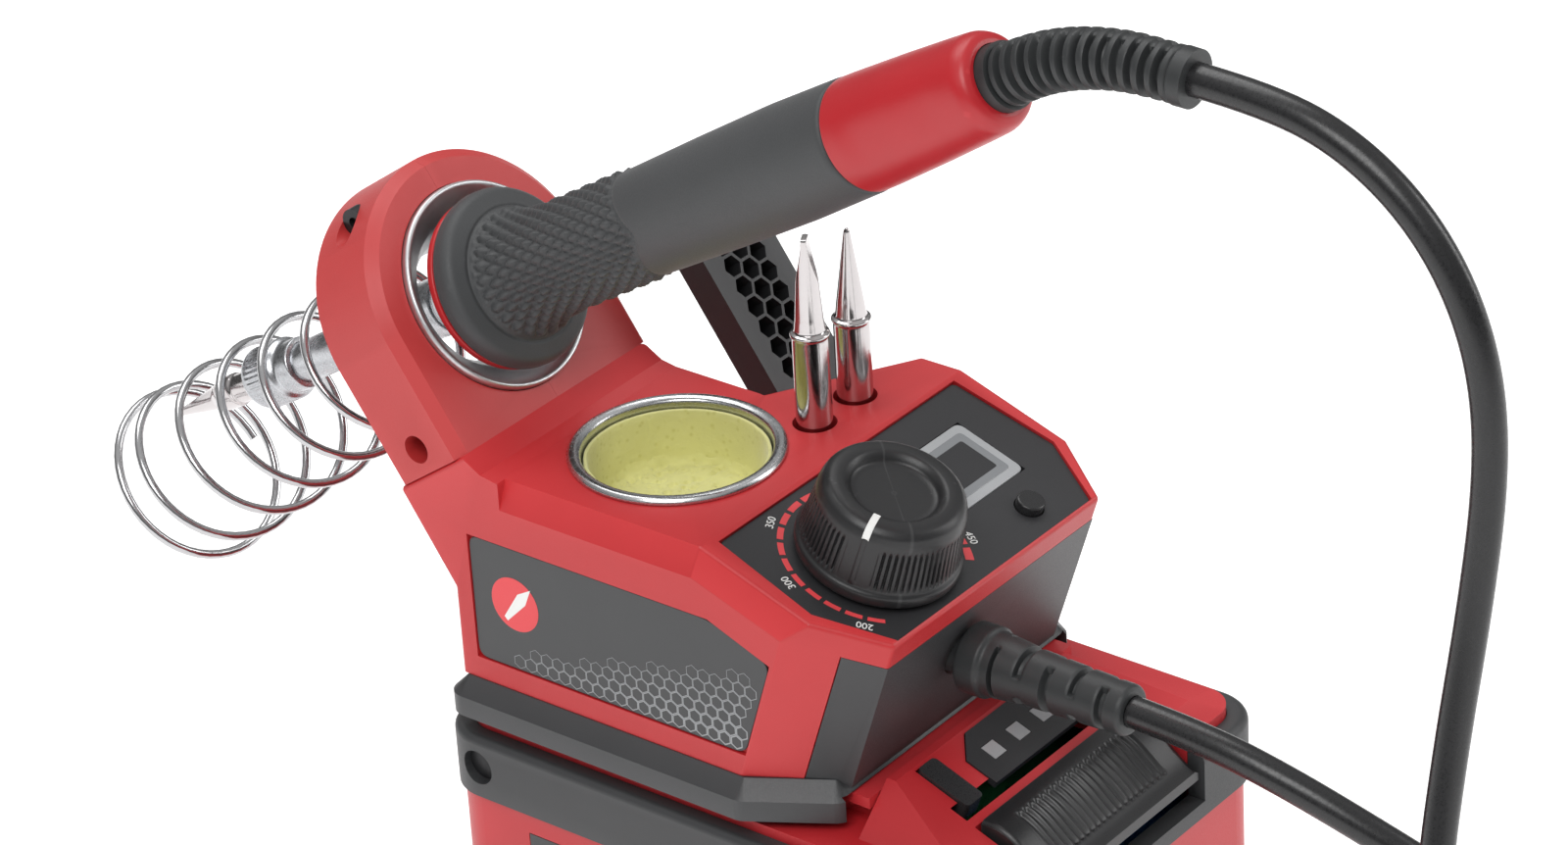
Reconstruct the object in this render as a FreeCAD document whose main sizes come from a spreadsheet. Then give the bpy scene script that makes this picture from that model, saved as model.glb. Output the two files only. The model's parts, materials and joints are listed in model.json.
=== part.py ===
import FreeCAD, Part
import math
import os
import re
import Sketcher
from FreeCAD import Placement, Rotation, Vector

# A soldering station that stands on a slide-on battery pack, with its iron in a tilted ring holder.
# Row frame: +Z up, front (knob, latch) towards -Y, origin at the centre of the pack's bottom face.

DIMENSIONS = {
    # station housing, seen from the side: Y and Z of its corners
    "station_width": 77, "wall": 2.4,
    "back_low_y": 54.5, "back_knee_z": 80, "joint_y": 50.2, "joint_z": 106.8,
    "joint_back_y": 65.4, "joint_back_z": 96.2, "deck_z": 104, "deck_back_y": 43,
    "slope_run": 34, "slope_drop": 11.7, "skirt_z": 63, "base_bottom_z": 56.2,
    "channel_top": 60.8, "board_z": 71,
    "corner_width": 9.2, "corner_depth": 15.7, "bevel_width": 2.1, "bevel_height": 5.2,
    "rim_out": 3.2, "rim_chamfer": 3.2, "cheek_width": 68.6, "lip_depth": 5.2,
    # the far back corner is open for the reel arm
    "niche_x": 10.6, "niche_y": 24, "niche_side_y": 7,
    # iron holder
    "head_x": -13, "head_width": 51, "ring_height": 22.2, "ring_radius": 19, "bore_radius": 16.2,
    # deck fittings
    "tin_x": -13.2, "tin_y": 23.6, "tin_rim_radius": 19, "tin_radius": 17.2, "tin_depth": 22,
    "tip_y": 10, "chisel_x": 7.6, "conical_x": 19.1, "tip_radius": 3.25, "well_radius": 3.9,
    "well_depth": 12,
    # control panel, measured in the slope's own plane
    "panel_top": 1.2, "panel_length": 34, "panel_half_top": 32.8, "panel_half": 34.2,
    "panel_half_low": 27.5, "panel_corner": 21, "panel_thick": 1.6, "panel_inset": 0.5,
    "pointer_turn": 16.4, "knob_x": -13.4, "knob_down": 19.7, "knob_radius": 14.4, "knob_height": 15,
    "display_x": 14.3, "display_down": 15.5, "display_width": 21.5, "display_length": 15,
    "button_x": 17.6, "button_down": 29.3,
    # iron
    "iron_pitch": 31, "collar_radius": 16, "handle_radius": 9.4, "handle_end_radius": 8.1,
    "spring_pitch_angle": 37.6, "spring_wire": 1.7, "spring_top_radius": 13.6,
    "spring_end_radius": 16.6, "spring_length": 88, "spring_turns": 7, "spring_start": 16.5,
    # battery pack
    "pack_width": 84, "pack_length": 119, "case_top_z": 40.5, "band_top_z": 52.6,
    "shoulder_z": 54.5, "block_top_z": 62, "block_back_y": -27.2, "latch_y": -42,
    "rail_length": 46,
    # cords
    "cord_radius": 2.75, "coil_inner": 24.6, "coil_outer": 35.7, "coil_height": 11,
    "coil_x": -9, "coil_y": -206.5, "gland_x": -5, "gland_z": 77.3, "gland_tip_y": -64,
}

doc = FreeCAD.newDocument("soldering_station")
sheet = doc.addObject("Spreadsheet::Sheet", "dims")
for row, (alias, value) in enumerate(DIMENSIONS.items(), start=1):
    sheet.set(f"A{row}", alias)
    sheet.set(f"B{row}", str(value))
    sheet.setAlias(f"B{row}", alias)
doc.recompute()

ALIAS = re.compile(r"\b(" + "|".join(DIMENSIONS) + r")\b")
nodes = []


def formula(text):
    """A sheet expression written with bare aliases, such as 'station_width / 2'."""
    return ALIAS.sub(r"dims.\1", str(text))


def number(text):
    return float(sheet.evalExpression(formula(text)))


def bind(obj, **sizes):
    for name, text in sizes.items():
        obj.setExpression(name, formula(text))
    return obj


def at(obj, x=0, y=0, z=0):
    """Bind an object's position in its own frame."""
    bind(obj, **{"Placement.Base.x": x, "Placement.Base.y": y, "Placement.Base.z": z})
    return obj


def node(obj, label, frame=None):
    """Name a finished piece and put it in the row frame."""
    if frame is not None:
        obj = framed(obj, frame)
    obj.Label = label
    nodes.append(obj)
    return obj


def framed(obj, frame):
    """The object carried into a frame."""
    carried = doc.addObject("Part::Compound", "framed")
    carried.Links = [obj]
    carried.Placement = frame
    return carried


def sunk(depth):
    """The slope's frame, sunk by depth."""
    return panel_frame.multiply(Placement(Vector(0, 0, -number(depth)), Rotation()))


def box(length, width, height, x=0, y=0, z=0):
    """A box centred on X and Y, standing on z."""
    piece = doc.addObject("Part::Box", "box")
    bind(piece, Length=length, Width=width, Height=height)
    return at(piece, f"{x} - ({length}) / 2", f"{y} - ({width}) / 2", z)


def rod(radius, height, x=0, y=0, z=0, along="z"):
    """A cylinder along z, or along x starting at x."""
    piece = doc.addObject("Part::Cylinder", "rod")
    bind(piece, Radius=radius, Height=height)
    if along == "x":
        piece.Placement = Placement(Vector(), Rotation(Vector(0, 1, 0), 90))
    if along == "y":
        piece.Placement = Placement(Vector(), Rotation(Vector(1, 0, 0), 90))
    return at(piece, x, y, z)


def cut(base, *tools):
    for tool in tools:
        result = doc.addObject("Part::Cut", "cut")
        result.Base = base
        result.Tool = tool
        base = result
    return base


def fuse(*parts):
    result = doc.addObject("Part::MultiFuse", "fuse")
    result.Shapes = list(parts)
    result.Refine = True
    return result


def common(*parts):
    result = doc.addObject("Part::MultiCommon", "common")
    result.Shapes = list(parts)
    return result


def group(*parts):
    result = doc.addObject("Part::Compound", "group")
    result.Links = list(parts)
    return result


def sketch_on(body, plane, points):
    """A closed outline on one of the body's own planes, each corner bound to the sheet."""
    sketch = body.newObject("Sketcher::SketchObject", "outline")
    origin_plane = [f for f in body.Origin.OriginFeatures if f.Role == plane][0]
    sketch.AttachmentSupport = [(origin_plane, "")]
    sketch.MapMode = "FlatFace"
    corners = [Vector(number(u), number(v), 0) for u, v in points]
    count = len(corners)
    for i in range(count):
        sketch.addGeometry(Part.LineSegment(corners[i], corners[(i + 1) % count]))
    for i in range(count):
        sketch.addConstraint(Sketcher.Constraint("Coincident", i, 2, (i + 1) % count, 1))
    for i, (u, v) in enumerate(points):
        for kind, text, value in (("DistanceX", u, corners[i].x), ("DistanceY", v, corners[i].y)):
            index = sketch.addConstraint(Sketcher.Constraint(kind, -1, 1, i, 1, value))
            sketch.setExpression(f"Constraints[{index}]", formula(text))
    return sketch


def prism(plane, points, length, start=None):
    """An outline padded along its plane's normal: centred on the plane, or from start."""
    body = doc.addObject("PartDesign::Body", "prism")
    pad = body.newObject("PartDesign::Pad", "pad")
    pad.Profile = sketch_on(body, plane, points)
    bind(pad, Length=length)
    if start is None:
        pad.Midplane = True
    else:
        axis = {"XY_Plane": "z", "YZ_Plane": "x"}[plane]
        at(body, **{axis: start})
    body.Tip = pad
    return body


def lathe(points):
    """A solid of revolution about z from (radius, height) corners."""
    body = doc.addObject("PartDesign::Body", "lathe")
    turn = body.newObject("PartDesign::Revolution", "turn")
    sketch = sketch_on(body, "XZ_Plane", points)
    turn.Profile = sketch
    turn.ReferenceAxis = (sketch, ["V_Axis"])
    turn.Angle = 360
    body.Tip = turn
    return body


def rounded(base, radius, wanted):
    """Fillet the edges of base for which wanted(edge) is true."""
    doc.recompute()
    fillet = doc.addObject("Part::Fillet", "rounded")
    fillet.Base = base
    size = number(radius)
    chosen = [i for i, e in enumerate(base.Shape.Edges, start=1) if wanted(e)]
    fillet.Edges = [(i, size, size) for i in chosen]
    return fillet


def upright(edge):
    """A straight edge parallel to z."""
    box_ = edge.BoundBox
    return box_.XLength < 1e-6 and box_.YLength < 1e-6


def turned(origin, angle):
    """A frame turned about X by angle, at origin."""
    return Placement(Vector(*origin), Rotation(Vector(1, 0, 0), angle))


BLADE_SPOTS = (-12, -4, 4, 12)
HOUSING_SCREWS = [(-35.9, 46), (-35.9, -2), (35.9, -2)]


# ---- frames -------------------------------------------------------------------------------------

slope_angle = math.degrees(math.atan(number("slope_drop / slope_run")))
panel_frame = turned((0, 0, number("deck_z")), slope_angle)

tilt = math.degrees(math.atan2(number("joint_z - joint_back_z"), number("joint_back_y - joint_y")))
head_thick = math.hypot(number("joint_z - joint_back_z"), number("joint_back_y - joint_y"))
head_frame = turned((number("head_x"), number("joint_y"), number("joint_z")), 90 - tilt)
ring_centre = head_frame.multVec(Vector(0, number("ring_height"), 0))
ring_frame = turned(ring_centre, 90 - tilt)
iron_frame = turned(ring_centre, 90 - number("iron_pitch"))
spring_frame = turned(ring_centre, 90 - number("spring_pitch_angle"))
arm_frame = turned((0, number("joint_y"), number("joint_z")), 90 - tilt)


# ---- housing ------------------------------------------------------------------------------------

def side_profile(inset):
    """The housing's outline in Y and Z, moved inwards by inset except at the bottom."""
    lean = "slope_drop / slope_run"
    front_run = f"(deck_z - slope_drop - skirt_z) * {lean}"
    return [
        (f"back_low_y - {inset}", "skirt_z"),
        (f"back_low_y - {inset}", f"back_knee_z + {inset}"),
        (f"joint_back_y - 1.3 * {inset}", f"joint_back_z - 0.3 * {inset}"),
        (f"joint_y - 0.3 * {inset}", f"joint_z - 1.3 * {inset}"),
        ("joint_y - 4", f"joint_z - 2.3 - {inset}"),
        ("deck_back_y", f"deck_z - {inset}"),
        (f"0 + 0.2 * {inset}", f"deck_z - {inset}"),
        (f"0 - slope_run + {inset}", f"deck_z - slope_drop - 0.7 * {inset}"),
        (f"{front_run} - slope_run + {inset}", "skirt_z"),
    ]


def niche(margin):
    """The open far back corner, grown by margin, above the base."""
    return prism("XY_Plane", [
        (f"niche_x - {margin}", 90), (f"niche_x - {margin}", f"niche_y - {margin} / 2"),
        ("station_width / 2 + 1", f"niche_side_y - {margin} * 1.2"), ("station_width / 2 + 1", 90),
    ], 80, start="skirt_z - 1")


def side_bevel(side):
    """Wedge along one top edge, in the YZ direction of the deck and then of the slope."""
    outer = f"{side} * (station_width / 2 + 1)"
    inner = f"{side} * (station_width / 2 - bevel_width)"
    low = f"{side} * (station_width / 2 + 0.001)"
    points = [(inner, 0.6), (inner, 0), (low, "0 - bevel_height"),
              (outer, "0 - bevel_height"), (outer, 0.6)]
    straight = doc.addObject("PartDesign::Body", "bevel")
    pad = straight.newObject("PartDesign::Pad", "pad")
    pad.Profile = sketch_on(straight, "XZ_Plane", points)
    bind(pad, Length="deck_back_y - 0.6")
    pad.Reversed = True
    straight.Tip = pad
    at(straight, z="deck_z")
    sloped = doc.addObject("PartDesign::Body", "bevel")
    pad = sloped.newObject("PartDesign::Pad", "pad")
    pad.Profile = sketch_on(sloped, "XZ_Plane", points)
    bind(pad, Length="slope_run * 1.4")
    sloped.Tip = pad
    return fuse(straight, framed(sloped, panel_frame))


def corner_chamfer(side, inset="0"):
    """The slanted front corner on one side, a prism at right angles to the slope, moved in by inset."""
    length = "slope_run * 1.0575"
    points = [
        (f"{side} * (station_width / 2 + 2 - {inset})", f"0 - {length} + corner_depth + 3.4"),
        (f"{side} * (station_width / 2 + 2 - {inset})", f"0 - {length} - 3"),
        (f"{side} * (station_width / 2 - corner_width - 1.76 - {inset})", f"0 - {length} - 3"),
    ]
    return framed(prism("XY_Plane", points, 70, start=0), sunk("60"))


def front_block(shrink, back):
    """The dark front's outer form: as wide as the cheeks, below the red lip."""
    middle = f"0 - slope_run * 1.0575 + {back} / 2 - 0.01"
    block = box(f"cheek_width - 2 * ({shrink})", back, 60, 0, middle, f"0 - 60 - lip_depth - ({shrink})")
    return framed(block, panel_frame)


def visible_corner(edge):
    """A housing edge that a hand meets: not at the skirt, the holder's joint or a crease."""
    space = edge.BoundBox
    at_skirt = space.ZMax < number("skirt_z") + 0.1
    high = space.ZMin > number("deck_z - bevel_height") - 0.1
    at_joint = high and space.YMax > number("deck_back_y") - 0.7
    crease = high and space.XLength > number("head_width - 5") and space.YLength < 0.1
    return not (at_skirt or at_joint or crease)


def deck_hole(radius, x, y):
    return rod(radius, 12, x, y, "deck_z - 6")


def make_housing():
    outer = prism("YZ_Plane", side_profile("0"), "station_width")
    shaped = cut(outer, niche("0"), side_bevel(1), side_bevel(-1), corner_chamfer(1), corner_chamfer(-1))
    shaped = rounded(shaped, "0.9", visible_corner)
    inner = cut(prism("YZ_Plane", side_profile("wall"), "station_width - 2 * wall - 2 * bevel_width"),
                niche("wall"), corner_chamfer(1, "wall"), corner_chamfer(-1, "wall"))
    sockets = [rod("well_radius + 1.4", "well_depth + 1.2", x, "tip_y", "deck_z - well_depth - 1.2")
               for x in ("chisel_x", "conical_x")]
    shell = fuse(cut(shaped, inner), *[common(s, shaped) for s in sockets])
    wells = [rod("well_radius", "well_depth + 5", x, "tip_y", "deck_z - well_depth")
             for x in ("chisel_x", "conical_x")]
    seat = framed(prism("XY_Plane", panel_outline("0.15"), 6, start=0), sunk("panel_thick + panel_inset"))
    window = box("panel_half_low * 2 - 2", "panel_length - 4", 12, 0, "0 - panel_top - panel_length / 2", -8)
    window = framed(window, panel_frame)
    tin_hole = deck_hole("tin_radius + 0.4", "tin_x", "tin_y")
    labels = [label_recess(side, "0") for side in (-1, 1)]
    dark_front = front_block("0 - 0.1", "7")
    pilots = [rod(1.25, 12, x, y, "skirt_z - 1") for x, y in HOUSING_SCREWS]
    node(cut(shell, *wells, seat, window, tin_hole, *labels, dark_front, *pilots), "housing_top")


def panel_outline(grow):
    half = f"panel_half + {grow}"
    half_top = f"panel_half_top + {grow}"
    half_low = f"panel_half_low + {grow}"
    top = f"0 - panel_top + {grow}"
    corner = "0 - panel_top - panel_corner"
    low = f"0 - panel_top - panel_length - {grow}"
    return [(f"0 - ({half_top})", top), (half_top, top), (half, corner), (half_low, low),
            (f"0 - ({half_low})", low), (f"0 - ({half})", corner)]


def label_recess(side, shrink):
    """The side panel's pocket (shrink 0), or the label sunk into it."""
    pocket = float(shrink) == 0
    back = "niche_side_y - 6" if side > 0 else "back_low_y - 3.9"
    low, high = f"skirt_z + 4.3 + {shrink}", f"deck_z - 12.2 - {shrink}"
    points = [
        (f"{back} - {shrink}", low), (f"{back} - {shrink}", high), ("0 - 2", high),
        (f"0 - 14.8 + {shrink}", f"deck_z - 17.2 - {shrink} / 2"), (f"0 - 8.4 + {shrink}", low),
    ]
    depth = 1.2 if pocket else 0.55
    if side > 0:
        start = "station_width / 2 - 0.8"
    else:
        start = f"0 - station_width / 2 + 0.8 - {depth}"
    return prism("YZ_Plane", points, depth, start=start)


def make_labels():
    for side, name in ((-1, "side_label_near"), (1, "side_label_far")):
        label = label_recess(side, "0.15")
        node(label, name)


def base_outline(out):
    """The base's plan, with its slanted front corners."""
    half = f"station_width / 2 + {out}"
    front = "0 - 24.4"
    return [(f"0 - ({half})", f"back_low_y + {out} / 2"), (f"0 - ({half})", f"{front} + corner_depth"),
            (f"0 - ({half}) + corner_width", front), (f"{half} - corner_width", front),
            (half, f"{front} + corner_depth"), (half, f"back_low_y + {out} / 2")]


def make_base():
    """Dark base: a chamfered rim under the housing, and the front below the red lip."""
    flange = prism("XY_Plane", base_outline("rim_out"), "skirt_z - base_bottom_z", start="base_bottom_z")
    doc.recompute()
    flange = rounded(flange, "rim_chamfer + 0.3", upright)
    doc.recompute()
    bevelled = doc.addObject("Part::Chamfer", "rim_chamfer")
    bevelled.Base = flange
    top = number("skirt_z") - 1e-6
    size = number("rim_chamfer - 0.3")
    chosen = [i for i, e in enumerate(flange.Shape.Edges, start=1) if e.BoundBox.ZMin > top]
    bevelled.Edges = [(i, size, size) for i in chosen]
    below = box(200, 200, 60, 0, 0, "base_bottom_z - 60")
    front = cut(front_block("0", "6.8"), corner_chamfer(1), corner_chamfer(-1), below)
    room = box("cheek_width - 16", 11, 60, 0, "8.5 - slope_run * 1.0575", "0 - 63 - lip_depth")
    room = cut(framed(room, panel_frame), box(200, 200, 62, 0, 0, "skirt_z - 62"))
    channel = box("pack_width - 20", 83, "channel_top - base_bottom_z + 0.1", 0, 8.5, "base_bottom_z - 0.1")
    gland_hole = rod(4.2, 30, "gland_x", "0 - 10", "gland_z", along="y")
    posts = [rod(2.5, "board_z - skirt_z", x, y, "skirt_z") for x in (-28, 3) for y in (-3, 39)]
    holes = []
    for x, y in HOUSING_SCREWS:
        holes += [rod(1.25, 9, x, y, "skirt_z - 8"), rod(2.1, 4, x, y, "base_bottom_z - 0.9")]
    node(cut(fuse(bevelled, front, *posts), channel, room, gland_hole, *holes), "base_shell")


def make_rails():
    """Two L-shaped rails under the base that hold the pack's head."""
    rails = []
    for side in (-1, 1):
        lip = box(3, "rail_length", 1.6, f"{side} * 28.3", 18, "base_bottom_z + 0.2")
        web = box(2, "rail_length", "channel_top - base_bottom_z - 0.2", f"{side} * 30.8", 18,
                  "base_bottom_z + 0.2")
        rails.append(fuse(lip, web))
    node(group(*rails), "base_rails")


def make_terminals():
    """Block under the base with the four blades that meet the pack's contacts."""
    blades = [box(1, 11, 3, x, 21, "channel_top - 3") for x in BLADE_SPOTS]
    node(fuse(box(34, 10, 3, 0, 30, "channel_top - 3"), *blades), "battery_terminals")


# ---- control panel ------------------------------------------------------------------------------

def make_panel():
    plate = prism("XY_Plane", panel_outline("0"), "panel_thick", start=0)
    plate = rounded(plate, "1.2", upright)
    holes = [rod(3.6, 8, "knob_x", "0 - knob_down", -2),
             box("display_width", "display_length", 8, "display_x", "0 - display_down", -2),
             rod(2.7, 8, "button_x", "0 - button_down", -2)]
    panel = cut(plate, *holes)
    node(panel, "control_panel", sunk("panel_thick + panel_inset"))


def make_display():
    pane = rounded(box("display_width - 0.2", "display_length - 0.2", "panel_thick + 0.3", "display_x",
                       "0 - display_down", "0 - panel_thick - panel_inset"), "1", upright)
    node(pane, "display_window", panel_frame)
    module = box("display_width + 2", "display_length + 3", 3, "display_x", "0 - display_down",
                 "0 - panel_thick - panel_inset - 3.1")
    node(module, "display_module", panel_frame)


def make_potentiometer():
    case = box(16, 16, 7, "knob_x", "0 - knob_down", "0 - panel_inset - panel_thick - 8.6")
    bush = rod("3.4", "1.6", "knob_x", "0 - knob_down", "0 - panel_inset - panel_thick - 1.6")
    shaft_hole = rod("2.05", "7", "knob_x", "0 - knob_down", "0 - panel_inset - panel_thick - 6.5")
    node(cut(fuse(case, bush), shaft_hole), "potentiometer", panel_frame)


def make_knob():
    """Knob in the slope's frame: skirt, ribbed barrel, domed edge and a dished top."""
    top = number("knob_height")
    points = [
        (0, 3.4), (9.6, 3.4), (9.6, 0.5), ("knob_radius", 0.5), ("knob_radius", 2.6),
        ("knob_radius - 0.7", 3.1), ("knob_radius - 1.7", top - 2.4), ("knob_radius - 2.2", top - 1.1),
        ("knob_radius - 3.2", top - 0.25), ("knob_radius - 4.4", top), ("knob_radius - 5.8", top),
        ("knob_radius - 6.9", top - 1.3), ("knob_radius - 8", top - 1.6), (0, top - 1.6),
    ]
    centre = Vector(number("knob_x"), -number("knob_down"), 0)
    knob_frame = panel_frame.multiply(Placement(centre, Rotation()))
    mark_turn = Placement(Vector(), Rotation(Vector(0, 0, 1), number("pointer_turn")))
    barrel = cut(lathe(points), rod("2", "9.5", 0, 0, 2))
    slot = framed(box(4.4, 1.4, 1.0, "0 - knob_radius + 4.6", 0, top - 1.0), mark_turn)
    node(cut(barrel, slot), "knob", knob_frame)
    pointer = framed(box(4.3, 1.3, 0.9, "0 - knob_radius + 4.6", 0, top - 1.0), mark_turn)
    node(pointer, "knob_pointer", knob_frame)
    shaft = rod("2", "16", 0, 0, "0 - 4.6")
    node(shaft, "knob_shaft", knob_frame)


def make_power_button():
    cap = rod("2.5", "3.2", "button_x", "0 - button_down", "0 - panel_thick - panel_inset + 0.1")
    flange = rod("3.4", "0.8", "button_x", "0 - button_down", "0 - panel_thick - panel_inset - 0.9")
    stem = rod("1.2", "1.4", "button_x", "0 - button_down", "0 - panel_thick - panel_inset - 0.4")
    button = rounded(fuse(cap, flange, stem), 0.4, lambda e: e.BoundBox.ZMin > 1.0)
    node(button, "power_button", panel_frame)


def make_board():
    """Control board on the base's four posts, with its larger parts."""
    plate = box(39, 50, 1.6, -12.5, 18, "board_z")
    parts = [box(14, 10, 6, -18, 2, "board_z + 1.5"), box(9, 9, 5, 0, 34, "board_z + 1.5"),
             rod(4, 7, -22, 30, "board_z + 1.5")]
    node(fuse(plate, *parts), "circuit_board")


# ---- deck fittings ------------------------------------------------------------------------------

def make_tin():
    rim = "tin_rim_radius"
    points = [
        (0, "0 - tin_depth"), ("tin_radius", "0 - tin_depth"), ("tin_radius", 0), (rim, 0), (f"{rim}", 0.7),
        (f"{rim} - 0.5", 1.3), ("tin_radius - 0.2", 1.3), ("tin_radius - 0.8", 0.6),
        ("tin_radius - 0.8", "1 - tin_depth"), (0, "1 - tin_depth"),
    ]
    node(at(lathe(points), "tin_x", "tin_y", "deck_z"), "sponge_tin")
    sponge = [
        (0, "1 - tin_depth"), ("tin_radius - 1.2", "1 - tin_depth"), ("tin_radius - 1.2", -1.2),
        ("tin_radius - 2.2", -1.2), ("tin_radius - 2.4", -9.5), (0, -9.5),
    ]
    node(at(lathe(sponge), "tin_x", "tin_y", "deck_z"), "sponge")


def make_tip(name, x, collar, height, blunt):
    """A spare tip standing in its well: sleeve, small collar and a tapering copper-cored point."""
    low = "0 - well_depth"
    points = [
        (0, low), ("tip_radius", low), ("tip_radius", collar - 0.8), ("tip_radius + 0.25", collar - 0.6),
        ("tip_radius + 0.25", collar), ("tip_radius - 0.55", collar + 0.2),
        ("tip_radius - 0.75", collar + 2.4), (blunt, height), (0, height),
    ]
    body = lathe(points)
    if blunt > 1:
        for side in (-1, 1):
            wedge = box(8, 6, 14, 0, f"{side} * 3.6", 0)
            body = cut(body, framed(wedge, turned((0, 0, height - 9), side * 9)))
    node(at(body, x, "tip_y", "deck_z"), name)


# ---- iron holder --------------------------------------------------------------------------------

def make_head():
    """Tombstone block in two halves, split at its middle, with the ring's bore."""
    half = "head_width / 2"
    block = fuse(box("head_width", "ring_height", head_thick, 0, "ring_height / 2", -head_thick),
                 rod(half, head_thick, 0, "ring_height", -head_thick))
    block = cut(block, box(60, 20, 60, 0, -10, -40))
    doc.recompute()
    chamfered = doc.addObject("Part::Chamfer", "head_chamfer")
    chamfered.Base = block
    chosen = [i for i, e in enumerate(block.Shape.Edges, start=1)
              if (e.BoundBox.ZMin > -0.01 or e.BoundBox.ZMax < -head_thick + 0.01) and e.BoundBox.YMax > 0.1]
    chamfered.Edges = [(i, 1.9, 1.9) for i in chosen]
    bore = rod("bore_radius", head_thick + 2, 0, "ring_height", -head_thick - 1)
    seat = rod("ring_radius + 0.1", 3, 0, "ring_height", -1.6)
    holes = []
    for height in (4.6, 43.4):
        holes.append(rod(1.6, 60, -30, height, -head_thick / 2, along="x"))
        holes.append(rod(2.6, 30, -40, height, -head_thick / 2, along="x"))
    whole = cut(chamfered, bore, seat, *holes)
    left = box(60, 90, 60, "0 - 30 - 0.02", 20, -30)
    right = box(60, 90, 60, "30 + 0.02", 20, -30)
    node(common(whole, left), "head_left", head_frame)
    node(common(whole, right), "head_right", head_frame)


def make_head_screws():
    screws = []
    for height in (4.6, 43.4):
        shank = rod(1.5, 20, -10, height, -head_thick / 2, along="x")
        head = rod(2.5, 2.4, -12.4, height, -head_thick / 2, along="x")
        screws.append(cut(fuse(shank, head), rod(1.0, 1.2, -12.5, height, -head_thick / 2, along="x")))
    node(group(*screws), "head_screws", head_frame)


def make_ring():
    """Metal ring with a funnel that the iron's collar rests in."""
    deep = -head_thick
    points = [
        ("bore_radius - 0.1", deep + 0.5), ("bore_radius - 0.1", -1.5), ("ring_radius", -1.5),
        ("ring_radius", 0.9), ("ring_radius - 0.5", 1.4), ("ring_radius - 1.6", 1.4),
        ("ring_radius - 3.2", 0.2), ("bore_radius - 1.6", -3.2), ("bore_radius - 1.6", deep + 0.5),
    ]
    node(lathe(points), "holder_bush", ring_frame)


def spring_spot(turn):
    """A point of the spring's centre line, which widens evenly."""
    share = turn / number("spring_turns")
    radius = number("spring_top_radius") + number("spring_end_radius - spring_top_radius") * share
    angle = 2 * math.pi * turn
    return Vector(radius * math.cos(angle), radius * math.sin(angle), number("spring_length") * share)


def make_spring():
    """Flaring wire coil behind the ring, hanging a little below the ring's axis: an arc a quarter turn."""
    arcs = []
    for quarter in range(round(4 * number("spring_turns"))):
        turn = quarter / 4
        arc = Part.Arc(spring_spot(turn), spring_spot(turn + 1 / 8), spring_spot(turn + 1 / 4))
        arcs.append(arc.toShape())
    heading = arcs[0].tangentAt(arcs[0].FirstParameter)
    ring = Part.Wire(Part.makeCircle(number("spring_wire / 2"), spring_spot(0), heading))
    spring = doc.addObject("Part::Feature", "spring")
    spring.Shape = Part.Wire(arcs).makePipeShell([ring], True, False)
    behind = turned((0, 0, number("0 - spring_start")), 180)
    node(framed(spring, behind), "holder_spring", spring_frame)


ARM_X = 28.4                # middle of the reel arm
PIVOT = (-28, 11)           # its pin in the arm's frame: along the face, and out from it


def make_arm():
    """Leaning arm with hexagonal pockets and a shouldered reel peg, on a cross pin in the open far corner."""
    low, high = -23.2, 26.0
    plate = rounded(box(18.4, high - low, 6.5, ARM_X, (high + low) / 2, 8), 2, upright)
    barrel = rod(4, 12, ARM_X - 6, PIVOT[0], PIVOT[1], along="x")
    web = box(12, 8, 5, ARM_X, -24, 8.6)
    pin_bore = rod(1.55, 40, 10, PIVOT[0], PIVOT[1], along="x")
    pockets = []
    for line in (-1, 0, 1):
        for step in range(11):
            height = low + 4.5 + 4.1 * (step + 0.5 * abs(line))
            if height > high - 9:
                continue
            pocket = doc.addObject("Part::Prism", "pocket")
            pocket.Polygon = 6
            bind(pocket, Circumradius=2.05, Height=6)
            pockets.append(at(pocket, ARM_X + line * 3.6, height, 10.5))
    peg_bore = rod(2.42, 12, ARM_X + 2.2, 21.5, 11, along="x")
    node(cut(fuse(plate, barrel, web), pin_bore, group(*pockets), peg_bore), "reel_arm", arm_frame)
    peg = fuse(rod(2.4, 6.9, ARM_X + 2.3, 21.5, 11, along="x"),
               rod(1.98, 13.1, ARM_X + 9.2, 21.5, 11, along="x"))
    node(peg, "reel_peg", arm_frame)
    node(rod(1.5, 19.4, ARM_X - 9.7, PIVOT[0], PIVOT[1], along="x"), "arm_pin", arm_frame)
    pivot = arm_frame.multVec(Vector(0, *PIVOT))
    ears = []
    for x in (ARM_X - 8.2, ARM_X + 8.2):
        ear = box(3, 8, pivot.z - number("skirt_z"), x, pivot.y, "skirt_z")
        lug = rod(4, 3, x - 1.5, pivot.y, pivot.z, along="x")
        ears.append(cut(fuse(ear, lug), rod(1.52, 10, x - 5, pivot.y, pivot.z, along="x")))
    node(group(*ears), "arm_bracket")


# ---- iron ---------------------------------------------------------------------------------------

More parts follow.
